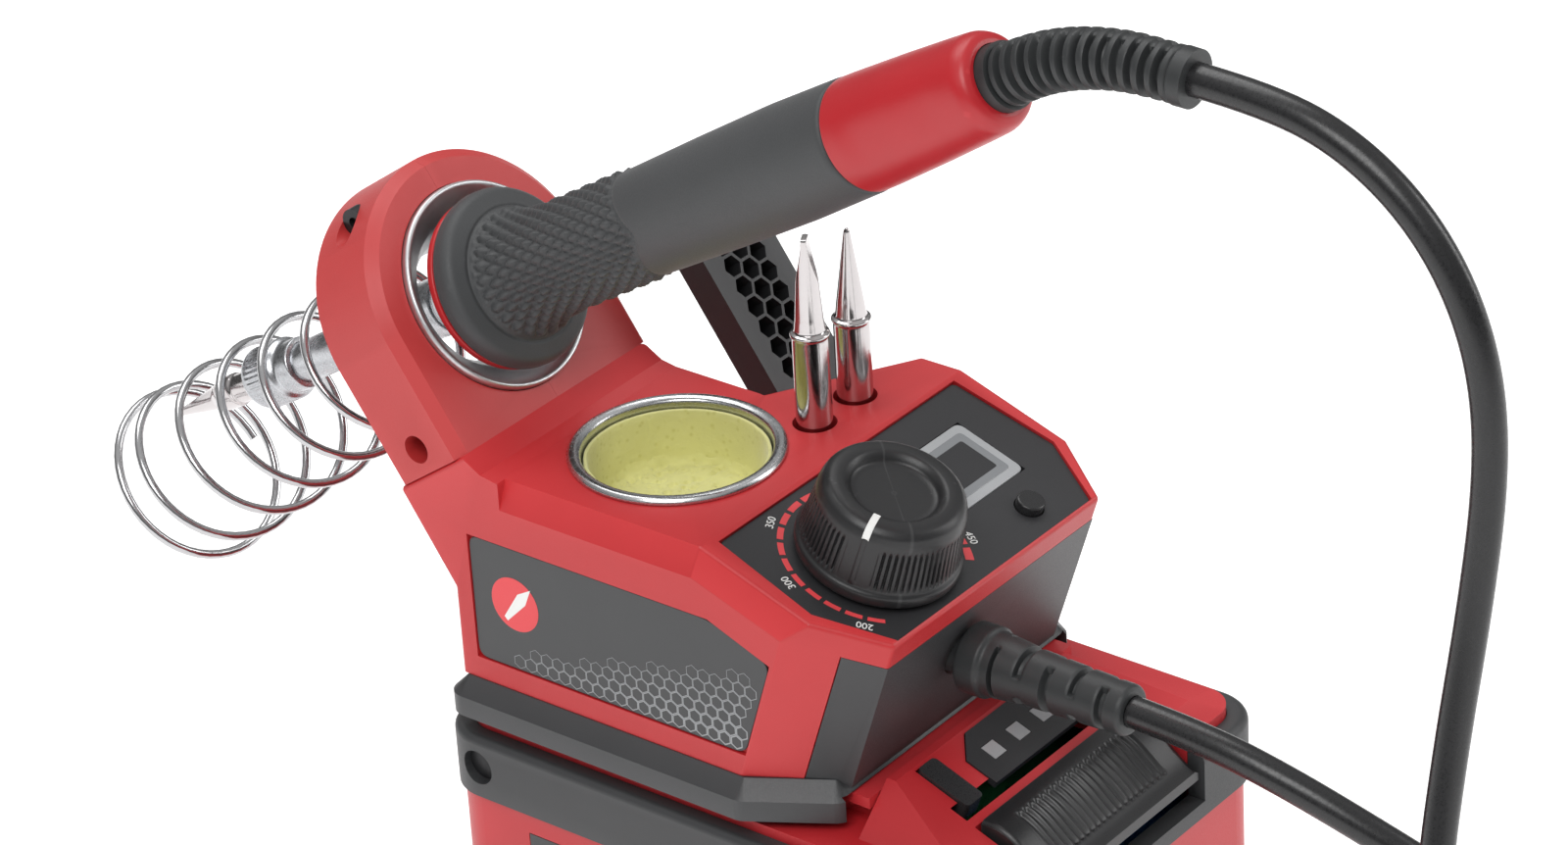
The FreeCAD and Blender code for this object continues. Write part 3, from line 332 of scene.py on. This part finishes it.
def ring_frames(path):
    """A steady pair of cross directions at each point of a path."""
    side = None
    out = []
    for i, point in enumerate(path):
        ahead = (path[min(i + 1, len(path) - 1)] - path[max(i - 1, 0)]).normalized()
        if side is None:
            side = ahead.cross(Vector((0, 0, 1)) if abs(ahead.z) < 0.9 else Vector((0, 1, 0)))
        side = (side - ahead * side.dot(ahead)).normalized()
        out.append((point, side, ahead.cross(side)))
    return out


def tube_mesh(path, radius_at, around):
    """Points and faces of a capped tube; radius_at(length along, angle) in the path's units."""
    points, faces = [], []
    along = 0.0
    for i, (centre, side, other) in enumerate(ring_frames(path)):
        if i:
            along += (path[i] - path[i - 1]).length
        for k in range(around):
            angle = 2 * math.pi * k / around
            out = side * math.cos(angle) + other * math.sin(angle)
            points.append(centre + out * radius_at(along, angle))
    for i in range(len(path) - 1):
        for k in range(around):
            a, b = i * around + k, i * around + (k + 1) % around
            faces.append((a, b, b + around, a + around))
    faces.append(tuple(range(around)))
    faces.append(tuple(range(len(points) - 1, len(points) - around - 1, -1)))
    return points, faces


def nurbs_line(name, controls, fineness):
    """Points of the smooth line that these control points shape."""
    curve = bpy.data.curves.new(name, "CURVE")
    curve.dimensions = "3D"
    spline = curve.splines.new("NURBS")
    spline.points.add(len(controls) - 1)
    for point, control in zip(spline.points, controls):
        point.co = (*control, 1)
    spline.order_u = 3
    spline.use_endpoint_u = True
    spline.resolution_u = fineness
    holder = bpy.data.objects.new(name, curve)
    bpy.context.scene.collection.objects.link(holder)
    bpy.context.view_layer.update()
    sampled = bpy.data.meshes.new_from_object(holder)
    line = [vertex.co.copy() for vertex in sampled.vertices]
    bpy.data.objects.remove(holder)
    bpy.data.meshes.remove(sampled)
    return line


# ---- cord ---------------------------------------------------------------------------------------

RELIEF_RUNS = ((16, 31), (8, 25), (8, 15), (8, 6), (9, -2))      # length and heading of each run
IRON_ROUTE = [
    (-13, -98, 199.7), (-13, -111.5, 195.8), (-13, -123, 187.6), (-13, -131, 176.2), (-13.2, -135.4, 162.6),
    (-14.5, -136.8, 147), (-18, -136.4, 127), (-24, -136.2, 106), (-31, -137.4, 86), (-36.5, -140.2, 68),
    (-39.6, -145, 52.5), (-41.2, -151.8, 38.8), (-41.8, -160.4, 26.8), (-41.9, -170.6, 16.8),
    (-41.9, -182, 9.2), (-41.9, -194.6, 4.2), (-41.9, -206.5, 2.85),
]
STATION_ROUTE = [
    (23.9, -206.5, 8.3), (24.3, -194, 9.9), (23.8, -180, 14.8), (21.8, -165.5, 23), (17.6, -151, 34),
    (11.8, -137, 46), (5.2, -123, 57), (-0.6, -108, 66.6), (-3.9, -93, 73.4), (-5, -78, 76.9),
]
GLAND_END = (-5, -64, 77.3)
COIL_KEYS = ((0, 32.9, 2.85), (0.7, 32.9, 2.85), (1.0, 27.4, 2.85), (1.28, 27.4, 2.85),
             (1.58, 27.4, 8.35), (1.78, 27.4, 8.35), (2.08, 32.9, 8.35), (2.5, 32.9, 8.35))


def relief_route():
    points = [IRON @ Vector((0, 0, 118)) / MM]
    for length, heading in RELIEF_RUNS:
        points.append(points[-1] + leaning(heading) * length)
    return points


def between_keys(turn):
    """Radius and height of the coil at this turn."""
    for (t0, r0, z0), (t1, r1, z1) in zip(COIL_KEYS, COIL_KEYS[1:]):
        if turn <= t1:
            share = (turn - t0) / (t1 - t0)
            return r0 + (r1 - r0) * share, z0 + (z1 - z0) * share
    return COIL_KEYS[-1][1:]


def coil_route():
    """Control points of the coil's turns, from its west side round to its east side."""
    step = 2 * math.pi / COIL_POINTS
    swell = 8 / (6 + 2 * math.cos(step))     # the line runs inside its control points by this much
    points = []
    for k in range(1, round(COIL_TURNS * COIL_POINTS)):
        radius, height = between_keys(k / COIL_POINTS)
        angle = math.pi + k * step
        points.append((COIL_CENTRE[0] + radius * swell * math.cos(angle),
                       COIL_CENTRE[1] + radius * swell * math.sin(angle), height))
    return points


def make_cord():
    relief_end = relief_route()[-1]
    controls = [relief_end, *IRON_ROUTE, *coil_route(), *STATION_ROUTE, GLAND_END]
    path = nurbs_line("cord_line", [Vector(p) * MM for p in controls], 8)
    points, faces = tube_mesh(path, lambda along, angle: CORD_RADIUS * MM, 24)
    nodes = ("cord_iron", "cord_table", "cord_coil", "cord_station")
    cord = mesh_piece("cord", points, faces, "cord_black", None, nodes)
    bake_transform(cord)


make_cord()


# ---- iron ---------------------------------------------------------------------------------------

GRIP_TEXTURE = (9.6, 45.5)       # where the raised diamonds start and end along the handle
DIAMOND_ROWS = 26                # diamonds round the handle
DIAMOND_PITCH = 2.1


def smooth_step(value, low, high):
    t = min(1.0, max(0.0, (value - low) / (high - low)))
    return t * t * (3 - 2 * t)


def diamonds(radius, height, angle):
    """Raised diamonds on the front of the grip, ending in a V on each side."""
    if radius < 8 or height < 4:
        return radius, height
    edge = GRIP_TEXTURE[1] - 5.5 * abs(math.sin(angle)) + 2
    begun = smooth_step(height, GRIP_TEXTURE[0] - 0.8, GRIP_TEXTURE[0])
    here = begun * smooth_step(-height, -edge, -edge + 0.6)
    u = DIAMOND_ROWS * angle / (2 * math.pi)
    v = height / (2 * DIAMOND_PITCH)
    wave = abs(math.sin(math.pi * (u + v))) * abs(math.sin(math.pi * (u - v)))
    line = smooth_step(abs(height - edge - 0.4), 0.5, 0.0)
    return radius + here * (0.95 * wave ** 0.9 - 0.42) - 0.25 * line, height


def make_grip():
    outline = softened([
        (7.6, 3.1), (15, 3.1), (16, 4), (16, 6.2), (15.2, 7.6), (12.5, 8.5), (11.9, 8.3), (11.4, 9.2),
        (10.3, 12), (9.5, 16.5), (9.3, 21), (9.3, 42), (9.8, 62), (10.1, 80), (9.8, 96.9), (7.6, 96.9)], 1.6)
    outline[0], outline[-1] = Vector((7.6, 3.1)), Vector((7.6, 96.9))
    lathe("grip", divided(outline, 0.42), IRON, "grip_rubber", "iron", "rubber_grip", 208, diamonds)
    ring = softened([(7.7, 1.45), (15.45, 1.45), (15.45, 2.9), (7.7, 2.9)], 0.4)
    lathe("grip_ring", ring, IRON, "ring_red", "iron", "collar_ring", 128)


def make_sleeve():
    outline = softened([
        (9.2, 97.1), (9.7, 97.1), (9.65, 100), (9.2, 112), (8.7, 122), (8.4, 126.6), (7.6, 128.3),
        (6.4, 128.9), (5.7, 128.9)], 0.9)

    def scooped(radius, height, angle):
        """Two shallow flats on the sleeve's sides."""
        dip = smooth_step(height, 99, 104) * smooth_step(-height, -127, -118)
        return radius - 0.35 * dip * max(0.0, math.cos(2 * angle)) ** 3, height
    lathe("sleeve", divided(outline, 0.8), IRON, "sleeve_red", "iron", "handle_sleeve", 128, scooped)


def make_relief():
    """The iron's bend relief: a plain collar, then thin ribs on a slimmer core, then an end collar."""
    line = nurbs_line("relief_line", relief_route(), 24)
    hidden = 9.5                 # this much of the line lies inside the sleeve
    line = [p for p in divided(line, 0.3) if (p - line[0]).length > hidden]
    total = sum((b - a).length for a, b in zip(line, line[1:]))
    ribs = 13
    first, last = 4.2, total - 3.2

    def radius_at(along, angle):
        full = 5.2 - 0.65 * along / total
        if along < 3.2:
            return (full + 0.45) * MM
        if along > last + 0.6:
            return (full + 0.15) * MM
        share = (along - first) / (last - first) * ribs
        gap = abs(share - round(share))
        rib = smooth_step(-gap, -0.36, -0.2)
        web = 0.75 * smooth_step(abs(math.sin(angle)), 0.93, 0.98)
        return (full - 1.35 * (1 - rib) * (1 - web)) * MM

    points, faces = tube_mesh([p * MM for p in line], lambda along, angle: radius_at(along / MM, angle), 72)
    mesh_piece("relief", points, faces, "relief_rubber", "iron", "iron_relief")


def make_barrel():
    """The hot end: stepped tube, knurled nut and the plated point."""
    tube = softened([
        (2.95, -69.9), (3.85, -69.9), (3.85, -36), (4.3, -35.4), (4.3, -33), (5.35, -30.5), (5.35, -12),
        (5.0, -11.4), (5.35, -10.8), (5.4, 19)], 0.5)
    lathe("barrel", divided(tube, 2.0), IRON, "barrel_steel", "iron", "heater_barrel", 64)

    def knurled(radius, height, angle):
        band = smooth_step(height, -66.6, -66) * smooth_step(-height, 60.4, 61)
        return radius - 0.22 * band * (1 + math.cos(36 * angle)) / 2, height
    nut = softened([
        (3.9, -68), (5.5, -68), (5.85, -67.2), (5.85, -59.8), (4.9, -58.8), (4.8, -55.2), (3.9, -55)], 0.4)
    lathe("barrel_nut_ring", divided(nut, 0.5), IRON, "barrel_steel", "iron", "barrel_nut", 216, knurled)
    tip = softened([
        (0.01, -96.35), (0.5, -96.0), (2.4, -82), (3.15, -80), (3.15, -76), (2.8, -75.4), (2.8, -60)], 0.5)
    lathe("iron_point", divided(tip, 1.0), IRON, "tip_chrome", "iron", "iron_tip", 64)


make_grip()
make_sleeve()
make_relief()
make_barrel()


# ---- holder -------------------------------------------------------------------------------------

def make_bush():
    """Turned ring: a rolled lip, a funnel that narrows round the barrel, and the outer sleeve."""
    deep = -HEAD_THICK + 0.5
    outline = softened([
        (16.1, deep), (16.1, -1.4), (18.95, -1.4), (18.95, 0.9), (18.6, 1.38), (18.1, 1.3), (16.9, 0.1),
        (13.6, -3.4), (11.2, -7.6), (10.2, -12.4), (11.2, -13), (12.4, -8.6), (14.7, -5.4), (14.7, deep),
        (16.1, deep)], 0.35)
    lathe("bush", divided(outline, 1.5), RING, "bush_steel", "station", "holder_bush", 160)


SPRING_TURNS = 7
OPEN_TURNS = 6.15            # the rest closes on itself
EASING = 0.4                 # turns over which the rise fades
VISIBLE_LENGTH = 84.8        # stays inside the solid spring's reach
SPRING_START = 16.5
SPRING_WIRE = 0.85


def make_spring():
    """Flaring wire coil that closes on itself in its last turn."""
    per_turn = 48
    line = []
    count = SPRING_TURNS * per_turn
    for k in range(count + 1):
        turn = k / per_turn
        share = turn / SPRING_TURNS
        radius = 13.6 + 3.0 * share
        rise = turn / OPEN_TURNS
        if turn >= OPEN_TURNS - EASING:
            late = (turn - OPEN_TURNS + EASING) / 1.25
            rise = (OPEN_TURNS - EASING + EASING * math.sin(late * math.pi / 2)) / OPEN_TURNS
        depth = SPRING_START + VISIBLE_LENGTH * min(1.0, rise)
        angle = -2 * math.pi * turn
        line.append(SPRING @ Vector((radius * math.cos(angle), radius * math.sin(angle), -depth)))
    points, faces = tube_mesh(line, lambda along, angle: SPRING_WIRE * MM, 14)
    mesh_piece("spring", points, faces, "spring_chrome", "station", "holder_spring")


make_bush()
make_spring()


# ---- deck fittings ------------------------------------------------------------------------------

def make_tin():
    place = frame_of((*TIN_CENTRE, DECK_Z), (0, 0, 1))
    outline = softened([
        (0.01, -21.95), (17.1, -21.95), (17.15, 0.02), (18.9, 0.02), (19, 0.6), (18.5, 1.3), (17.4, 1.35),
        (16.6, 0.9), (16.45, 0), (16.45, -20.9), (0.01, -20.9)], 0.45)
    lathe("tin", divided(outline, 2.0), place, "tin_steel", "tin", "sponge_tin", 160)


def sponge_shape(radius, height, angle):
    """Lumps and pores: stronger on the floor than on the standing wall."""
    spot = Vector((radius * math.cos(angle), radius * math.sin(angle), height))
    lump = noise.fractal(spot * 0.22, 1.0, 2.0, 4) * 0.55
    pits = min(0.0, noise.noise(spot * 0.75) + 0.12) * 1.5
    if height < -7 and radius < 14.9:
        return radius, height + lump * 0.7 + pits
    if height > -21 and radius > 1:
        return radius + 0.1 * lump + 0.12 * pits, height
    return radius, height


def make_sponge():
    place = frame_of((*TIN_CENTRE, DECK_Z), (0, 0, 1))
    outline = softened([
        (0.01, -20.9), (15.95, -20.9), (16.2, -1.0), (16.1, -0.4), (15.5, -0.4), (15.3, -1.4), (14.9, -9.0),
        (14.2, -10.4), (0.01, -10.0)], 0.5)
    piece = lathe("sponge_pad", divided(outline, 0.4), place, "sponge_yellow", "sponge", "sponge", 220,
                  sponge_shape)


def make_tip(name, x, outline, node, shape=None):
    place = frame_of((x, TIP_Y, DECK_Z), (0, 0, 1))
    lathe(name, divided(softened(outline, 0.35), 0.5), place, "tip_chrome", node, node, 96, shape)


def make_tips():
    low = [(0.01, -11.95), (3.0, -11.95), (3.2, -11.6)]
    chisel = low + [(3.2, 16.8), (3.48, 17.1), (3.48, 17.6), (2.75, 17.9), (2.5, 20.1), (1.75, 31),
                    (1.5, 35.5), (0.01, 35.6)]
    conical = low + [(3.2, 14.6), (3.48, 14.9), (3.48, 15.4), (2.75, 15.7), (2.5, 17.9), (1.3, 26.5),
                     (0.55, 31.8), (0.25, 32.3), (0.01, 32.35)]

    def flats(radius, height, angle):
        """Two ground faces that make the chisel's edge."""
        half = 2.6 - 2.1 * smooth_step(height, 22.5, 35.6)
        across = abs(radius * math.sin(angle - 0.5))
        if height > 22.5 and across > half:
            return radius * half / across, height
        return radius, height
    make_tip("chisel_bit", CHISEL_X, chisel, "chisel_tip", flats)
    make_tip("conical_bit", CONICAL_X, conical, "conical_tip")


make_tin()
make_sponge()
make_tips()


# ---- control panel ------------------------------------------------------------------------------

POINTER_ANGLE = math.radians(196.4)
KNOB_GROOVES = 76


def knob_shape(radius, height, angle):
    """Grip grooves round the barrel, except beside the pointer, where one ridge runs down."""
    if radius < 9 or not 3.0 < height < 14.2:
        return radius, height
    away = abs((angle - POINTER_ANGLE + math.pi) % (2 * math.pi) - math.pi)
    band = smooth_step(height, 3.3, 4.2) * smooth_step(-height, -11.4, -10.2)
    band *= smooth_step(away, 0.2, 0.26)
    groove = smooth_step(math.cos(KNOB_GROOVES * angle), 0.0, 0.85)
    ridge = smooth_step(-away, -0.045, -0.02) * smooth_step(height, 3.2, 4)
    ridge *= smooth_step(-height, -14, -12.5)
    return radius - 0.55 * groove * band + 0.25 * ridge, height


def make_knob():
    outline = softened([
        (9.6, 3.3), (9.6, 0.5), (14.3, 0.5), (14.4, 1.4), (14.35, 2.5), (13.75, 3.1), (12.75, 12.4),
        (12.2, 13.9), (11.2, 14.75), (10.0, 14.98), (8.7, 14.95), (7.9, 14.3), (7.4, 13.55), (6.6, 13.35),
        (0.01, 13.3)], 0.5)
    around = KNOB_GROOVES * 7
    lathe("knob_cap", divided(outline, 0.35), KNOB, "knob_black", "knob", "knob", around, knob_shape)


def make_pointer():
    """The white mark: a thin strip that follows the cap's shoulder."""
    line = [(8.7, 15.0), (9.6, 15.05), (10.6, 14.98), (11.5, 14.72), (12.2, 14.2), (12.6, 13.5),
            (12.85, 12.7)]
    line = divided(softened(line, 0.5), 0.2)
    section = ((-0.62, -0.25), (-0.62, 0.05), (-0.5, 0.12), (0.5, 0.12), (0.62, 0.05), (0.62, -0.25))
    turn = KNOB @ Matrix.Rotation(POINTER_ANGLE, 4, "Z")
    points, faces = [], []
    for radius, height in line:
        for side, lift in section:
            points.append(turn @ Vector((radius + 0.5 * lift, side, height + lift)))
    for i in range(len(line) - 1):
        for k in range(6):
            a, b = i * 6 + k, i * 6 + (k + 1) % 6
            faces.append((a, b, b + 6, a + 6))
    faces += [tuple(range(6)), tuple(range(len(points) - 1, len(points) - 7, -1))]
    mesh_piece("pointer", points, faces, "mark_white", "knob", "knob_pointer")


PANEL_TOP = -0.5             # the panel's face, from the slope
PRINT = 0.04                 # thickness of printed marks


def flat_shape(name, outlines, place, height, thick, look, body, node=None, bevel=0.0):
    """Flat pieces, each an outline of (x, y), of one thickness, with its top at height."""
    points, faces = [], []
    for outline in outlines:
        start = len(points)
        count = len(outline)
        points += [place @ Vector((*p[:2], height - thick)) for p in outline]
        points += [place @ Vector((*p[:2], height)) for p in outline]
        for i in range(count):
            k = (i + 1) % count
            faces.append((start + i, start + k, start + count + k, start + count + i))
        faces.append(tuple(range(start + count - 1, start - 1, -1)))
        faces.append(tuple(range(start + count, start + 2 * count)))
    piece = mesh_piece(name, points, faces, look, body, node)
    if bevel:
        edge = piece.modifiers.new("edge", "BEVEL")
        edge.width = bevel * MM
        edge.segments = 3
        edge.limit_method = "ANGLE"
        edge.angle_limit = math.radians(50)
    return piece


def make_dashes():
    """Red dashes round the knob over its 270 degrees of travel."""
    outlines = []
    dashes = 20
    for i in range(dashes):
        middle = math.radians(225 - 270 * (i + 0.5) / dashes)
        half = math.radians(5.2)
        width = 0.42 + 0.35 * i / dashes
        arc = [middle - half + 2 * half * k / 6 for k in range(7)]
        outer = [(math.cos(a) * (16.3 + width), math.sin(a) * (16.3 + width)) for a in arc]
        inner = [(math.cos(a) * (16.3 - width), math.sin(a) * (16.3 - width)) for a in reversed(arc)]
        outlines.append(outer + inner)
    flat_shape("dial_dashes", outlines, KNOB, PANEL_TOP + PRINT, PRINT + 0.05, "dash_red", "station")


def make_numbers():
    """Plain temperature numbers, their tops outwards."""
    for degrees, text in ((212, "200"), (164, "300"), (117, "350"), (22, "400"), (-26, "450")):
        curve = bpy.data.curves.new("number", "FONT")
        curve.body = text
        curve.size = 2.0
        curve.align_x = "CENTER"
        curve.align_y = "CENTER"
        curve.extrude = PRINT
        holder = bpy.data.objects.new("number", curve)
        bpy.context.scene.collection.objects.link(holder)
        bpy.context.view_layer.update()
        data = bpy.data.meshes.new_from_object(holder)
        bpy.data.objects.remove(holder)
        angle = math.radians(degrees)
        spot = Vector((math.cos(angle) * 18.2, math.sin(angle) * 18.2, PANEL_TOP + PRINT))
        place = KNOB @ Matrix.Translation(spot) @ Matrix.Rotation(angle - math.pi / 2, 4, "Z")
        data.transform(place)
        data.materials.append(looks["mark_white"])
        number = bpy.data.objects.new(f"number_{text}", data)
        bpy.context.scene.collection.objects.link(number)
        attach(number, "station")


def rectangle(x, y, width, length, radius=1.0):
    half, tall = width / 2, length / 2
    corners = [(x - half, y - tall), (x + half, y - tall), (x + half, y + tall), (x - half, y + tall)]
    return softened(corners, radius, closed=True)


def make_display():
    """Grey framed display: a border, a sunk window and a lighter line round it."""
    x, y = 14.3, -15.5
    outer = rectangle(x, y, 21.2, 14.7, 1.6)
    flat_shape("display_rim", [outer], SLOPE, -0.32, 1.7, "display_frame", "station", "display_window",
               bevel=0.25)
    flat_shape("display_pane", [rectangle(x, y, 17.6, 11.2, 1.0)], SLOPE, -0.24, 0.3, "display_window",
               "station", bevel=0.06)
    flat_shape("display_glass", [rectangle(x, y, 14.2, 8.0, 0.6)], SLOPE, -0.2, 0.2, "panel_dark",
               "station", bevel=0.04)


make_knob()
make_pointer()
make_dashes()
make_numbers()
make_display()


# ---- side label ---------------------------------------------------------------------------------

LABEL_X = -38.25             # the near label's face
LABEL = [(-50.4, 67.5), (8.2, 67.5), (14.6, 86.7), (2.0, 91.6), (-50.4, 91.6)]     # across (-Y) and up


def label_place():
    """Flat frame on the near side: x runs towards the front, y up, z out."""
    turn = Matrix(((0, 0, -1), (-1, 0, 0), (0, 1, 0))).to_4x4()
    return Matrix.Translation(Vector((LABEL_X, 0, 0)) * MM) @ turn @ Matrix.Scale(MM, 4)


def honeycomb():
    """Hexagon outlines that thin out upwards and towards the back."""
    outlines = []
    pitch = 2.5
    for row in range(7):
        for column in range(22):
            x = 11.5 - column * pitch - (pitch / 2 if row % 2 else 0)
            y = 69.2 + row * pitch * 0.866
            strength = 1 - row / 7 - column / 24
            edge_x = 8.2 + (y - 67.5) * 6.4 / 19.2
            if strength <= 0.05 or x > edge_x - 1.6:
                continue
            wide = 0.06 + 0.22 * strength
            for k in range(6):
                a, b = math.radians(60 * k + 30), math.radians(60 * k + 90)
                big, small = pitch * 0.56, pitch * 0.56 - wide
                outlines.append([(x + big * math.cos(a), y + big * math.sin(a)),
                                 (x + big * math.cos(b), y + big * math.sin(b)),
                                 (x + small * math.cos(b), y + small * math.sin(b)),
                                 (x + small * math.cos(a), y + small * math.sin(a))])
    return outlines


def make_label():
    place = label_place()
    flat_shape("near_label", [softened(LABEL, 2.2, closed=True)], place, 0, 0.5, "label_grey", "station",
               "side_label_near", bevel=0.12)
    flat_shape("near_label_pattern", honeycomb(), place, 0.03, 0.05, "print_grey", "station")
    disc = [(-41 + 5.2 * math.cos(a), 80.6 + 5.2 * math.sin(a))
            for a in [2 * math.pi * k / 48 for k in range(48)]]
    flat_shape("near_label_disc", [disc], place, 0.04, 0.06, "dash_red", "station")
    bolt = [(-43.6, 77.6), (-42.9, 76.9), (-38.6, 81.2), (-37.2, 84.6), (-40.2, 82.9)]
    flat_shape("near_label_sign", [bolt], place, 0.08, 0.06, "mark_white", "station")


make_label()


# ---- battery pack -------------------------------------------------------------------------------

def make_latch():
    """The release button: a smooth plate with a fan of ribs and a rolled front."""
    low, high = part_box("latch_button")
    low, high = low / MM, high / MM
    nx, ny = 260, 60
    front, back = low.y + 0.1, high.y - 0.1
    points, faces = [], []

    def top(x, y):
        """Height of the button's upper face."""
        share = (back - y) / (back - front)
        roll = (high.z - low.z - 1.0) * 0.85 * smooth_step(share, 0.1, 1.05) ** 1.3
        base = high.z - 0.2 - 0.12 * share - roll
        inside = smooth_step(-abs(x), -16.5, -15.6) * smooth_step(share, 0.2, 0.25)
        inside *= smooth_step(-share, -0.82, -0.76)
        rib = 0.5 + 0.5 * math.cos(2 * math.pi * x / 1.6)
        edge = smooth_step(abs(x), 20.2, 21.1)
        return base - 0.75 * inside * (1 - rib ** 1.5) - 0.5 * edge
    for j in range(ny + 1):
        y = back + (front - back) * j / ny
        for i in range(nx + 1):
            x = -21.1 + 42.2 * i / nx
            points.append(ROW @ Vector((x, y, top(x, y))))
    wide = nx + 1
    for j in range(ny):
        for i in range(nx):
            a = j * wide + i
            faces.append((a, a + 1, a + wide + 1, a + wide))
    border = [i for i in range(wide)] + [j * wide + nx for j in range(1, ny + 1)]
    border += [ny * wide + i for i in range(nx - 1, -1, -1)] + [j * wide for j in range(ny - 1, 0, -1)]
    start = len(points)
    for index in border:
        spot = points[index].copy()
        spot.z = (low.z + 0.05) * MM
        points.append(spot)
    count = len(border)
    for k in range(count):
        n = (k + 1) % count
        faces.append((border[k], start + k, start + n, border[n]))
    faces.append(tuple(range(start + count - 1, start - 1, -1)))
    mesh_piece("latch", points, faces, "latch_black", "latch_button", "latch_button")


def make_gland():
    """Chunky bend relief at the station: flange, then four segments with deep slots."""
    outline = softened([
        (0.01, 0), (4.05, 0), (4.05, 9.5), (6.3, 9.7), (6.35, 13.8), (5.7, 14.4), (5.6, 16.2), (5.0, 22),
        (4.7, 32), (4.5, 41.2), (4.1, 41.9), (2.8, 41.95)], 0.35)

    def slotted(radius, height, angle):
        share = (height - 16.2) / 5.4
        if not 0 < share < 4.5:
            return radius, height
        cut = smooth_step(abs(share - round(share)), 0.16, 0.08)
        bridge = smooth_step(abs(math.sin(angle + math.pi / 2 * (round(share) % 2))), 0.86, 0.94)
        return radius - 1.25 * cut * (1 - bridge), height
    lathe("gland", divided(outline, 0.3), GLAND, "relief_rubber", "station", "cable_gland", 96, slotted)


make_latch()
make_gland()


# ---- carried-over CAD pieces --------------------------------------------------------------------

def dress_cad():
    """Give each shown CAD node its slot's material."""
    slots = {row["node"]: row["material_slot"] for row in frame["record"]["subparts"]}
    for name, piece in frame["nodes"].items():
        look = looks[slots[name]]
        piece.data.materials.clear()
        piece.data.materials.append(look)


dress_cad()


# ---- stage --------------------------------------------------------------------------------------

def area_light(name, spot, size, power, aim=(0, 0, 0.08)):
    data = bpy.data.lights.new(name, "AREA")
    data.shape = "RECTANGLE"
    data.size, data.size_y = size
    data.energy = power
    light = bpy.data.objects.new(name, data)
    light.location = spot
    light.rotation_euler = (Vector(aim) - Vector(spot)).to_track_quat("-Z", "Y").to_euler()
    bpy.context.scene.collection.objects.link(light)


def make_sky():
    """A studio that is dark at eye level and light overhead, so metal shows both."""
    world = bpy.data.worlds.new("studio")
    world.use_nodes = True
    add = node_setter(world.node_tree)
    link = world.node_tree.links.new
    place = add("ShaderNodeTexCoord")
    split = add("ShaderNodeSeparateXYZ")
    ramp = add("ShaderNodeValToRGB")
    stops = ramp.color_ramp.elements
    stops[0].position, stops[0].color = 0.0, (0.1, 0.1, 0.1, 1)
    stops[1].position, stops[1].color = 1.0, (0.7, 0.7, 0.7, 1)
    for position, value in ((0.22, 0.12), (0.34, 0.45), (0.5, 0.3), (0.62, 0.6)):
        stop = stops.new(position)
        stop.color = (value, value, value, 1)
    link(place.outputs["Generated"], split.inputs[0])
    link(split.outputs["Z"], ramp.inputs[0])
    back = world.node_tree.nodes["Background"]
    link(ramp.outputs["Color"], back.inputs["Color"])
    back.inputs["Strength"].default_value = 0.9
    bpy.context.scene.world = world


def make_stage():
    data = bpy.data.meshes.new("floor")
    reach = 6.0
    data.from_pydata([(-reach, -reach, 0), (reach, -reach, 0), (reach, reach, 0), (-reach, reach, 0)], [],
                     [(0, 1, 2, 3)])
    floor = bpy.data.objects.new("floor", data)
    bpy.context.scene.collection.objects.link(floor)
    white = finish("floor_white", (0.9, 0.9, 0.9), 0.7, bump=0.0, mottle=0.005)
    glow = white.node_tree.nodes["Principled BSDF"]
    glow.inputs["Emission Color"].default_value = (1, 1, 1, 1)
    glow.inputs["Emission Strength"].default_value = 0.42
    data.materials.append(white)
    make_sky()
    area_light("key", (-0.9, -0.35, 1.25), (0.8, 0.8), 11)
    area_light("top", (0.25, 0.6, 1.4), (1.1, 0.7), 8)
    area_light("side", (0.9, -0.8, 0.6), (0.35, 0.8), 4)
    bpy.context.scene.view_settings.view_transform = "Standard"


make_stage()
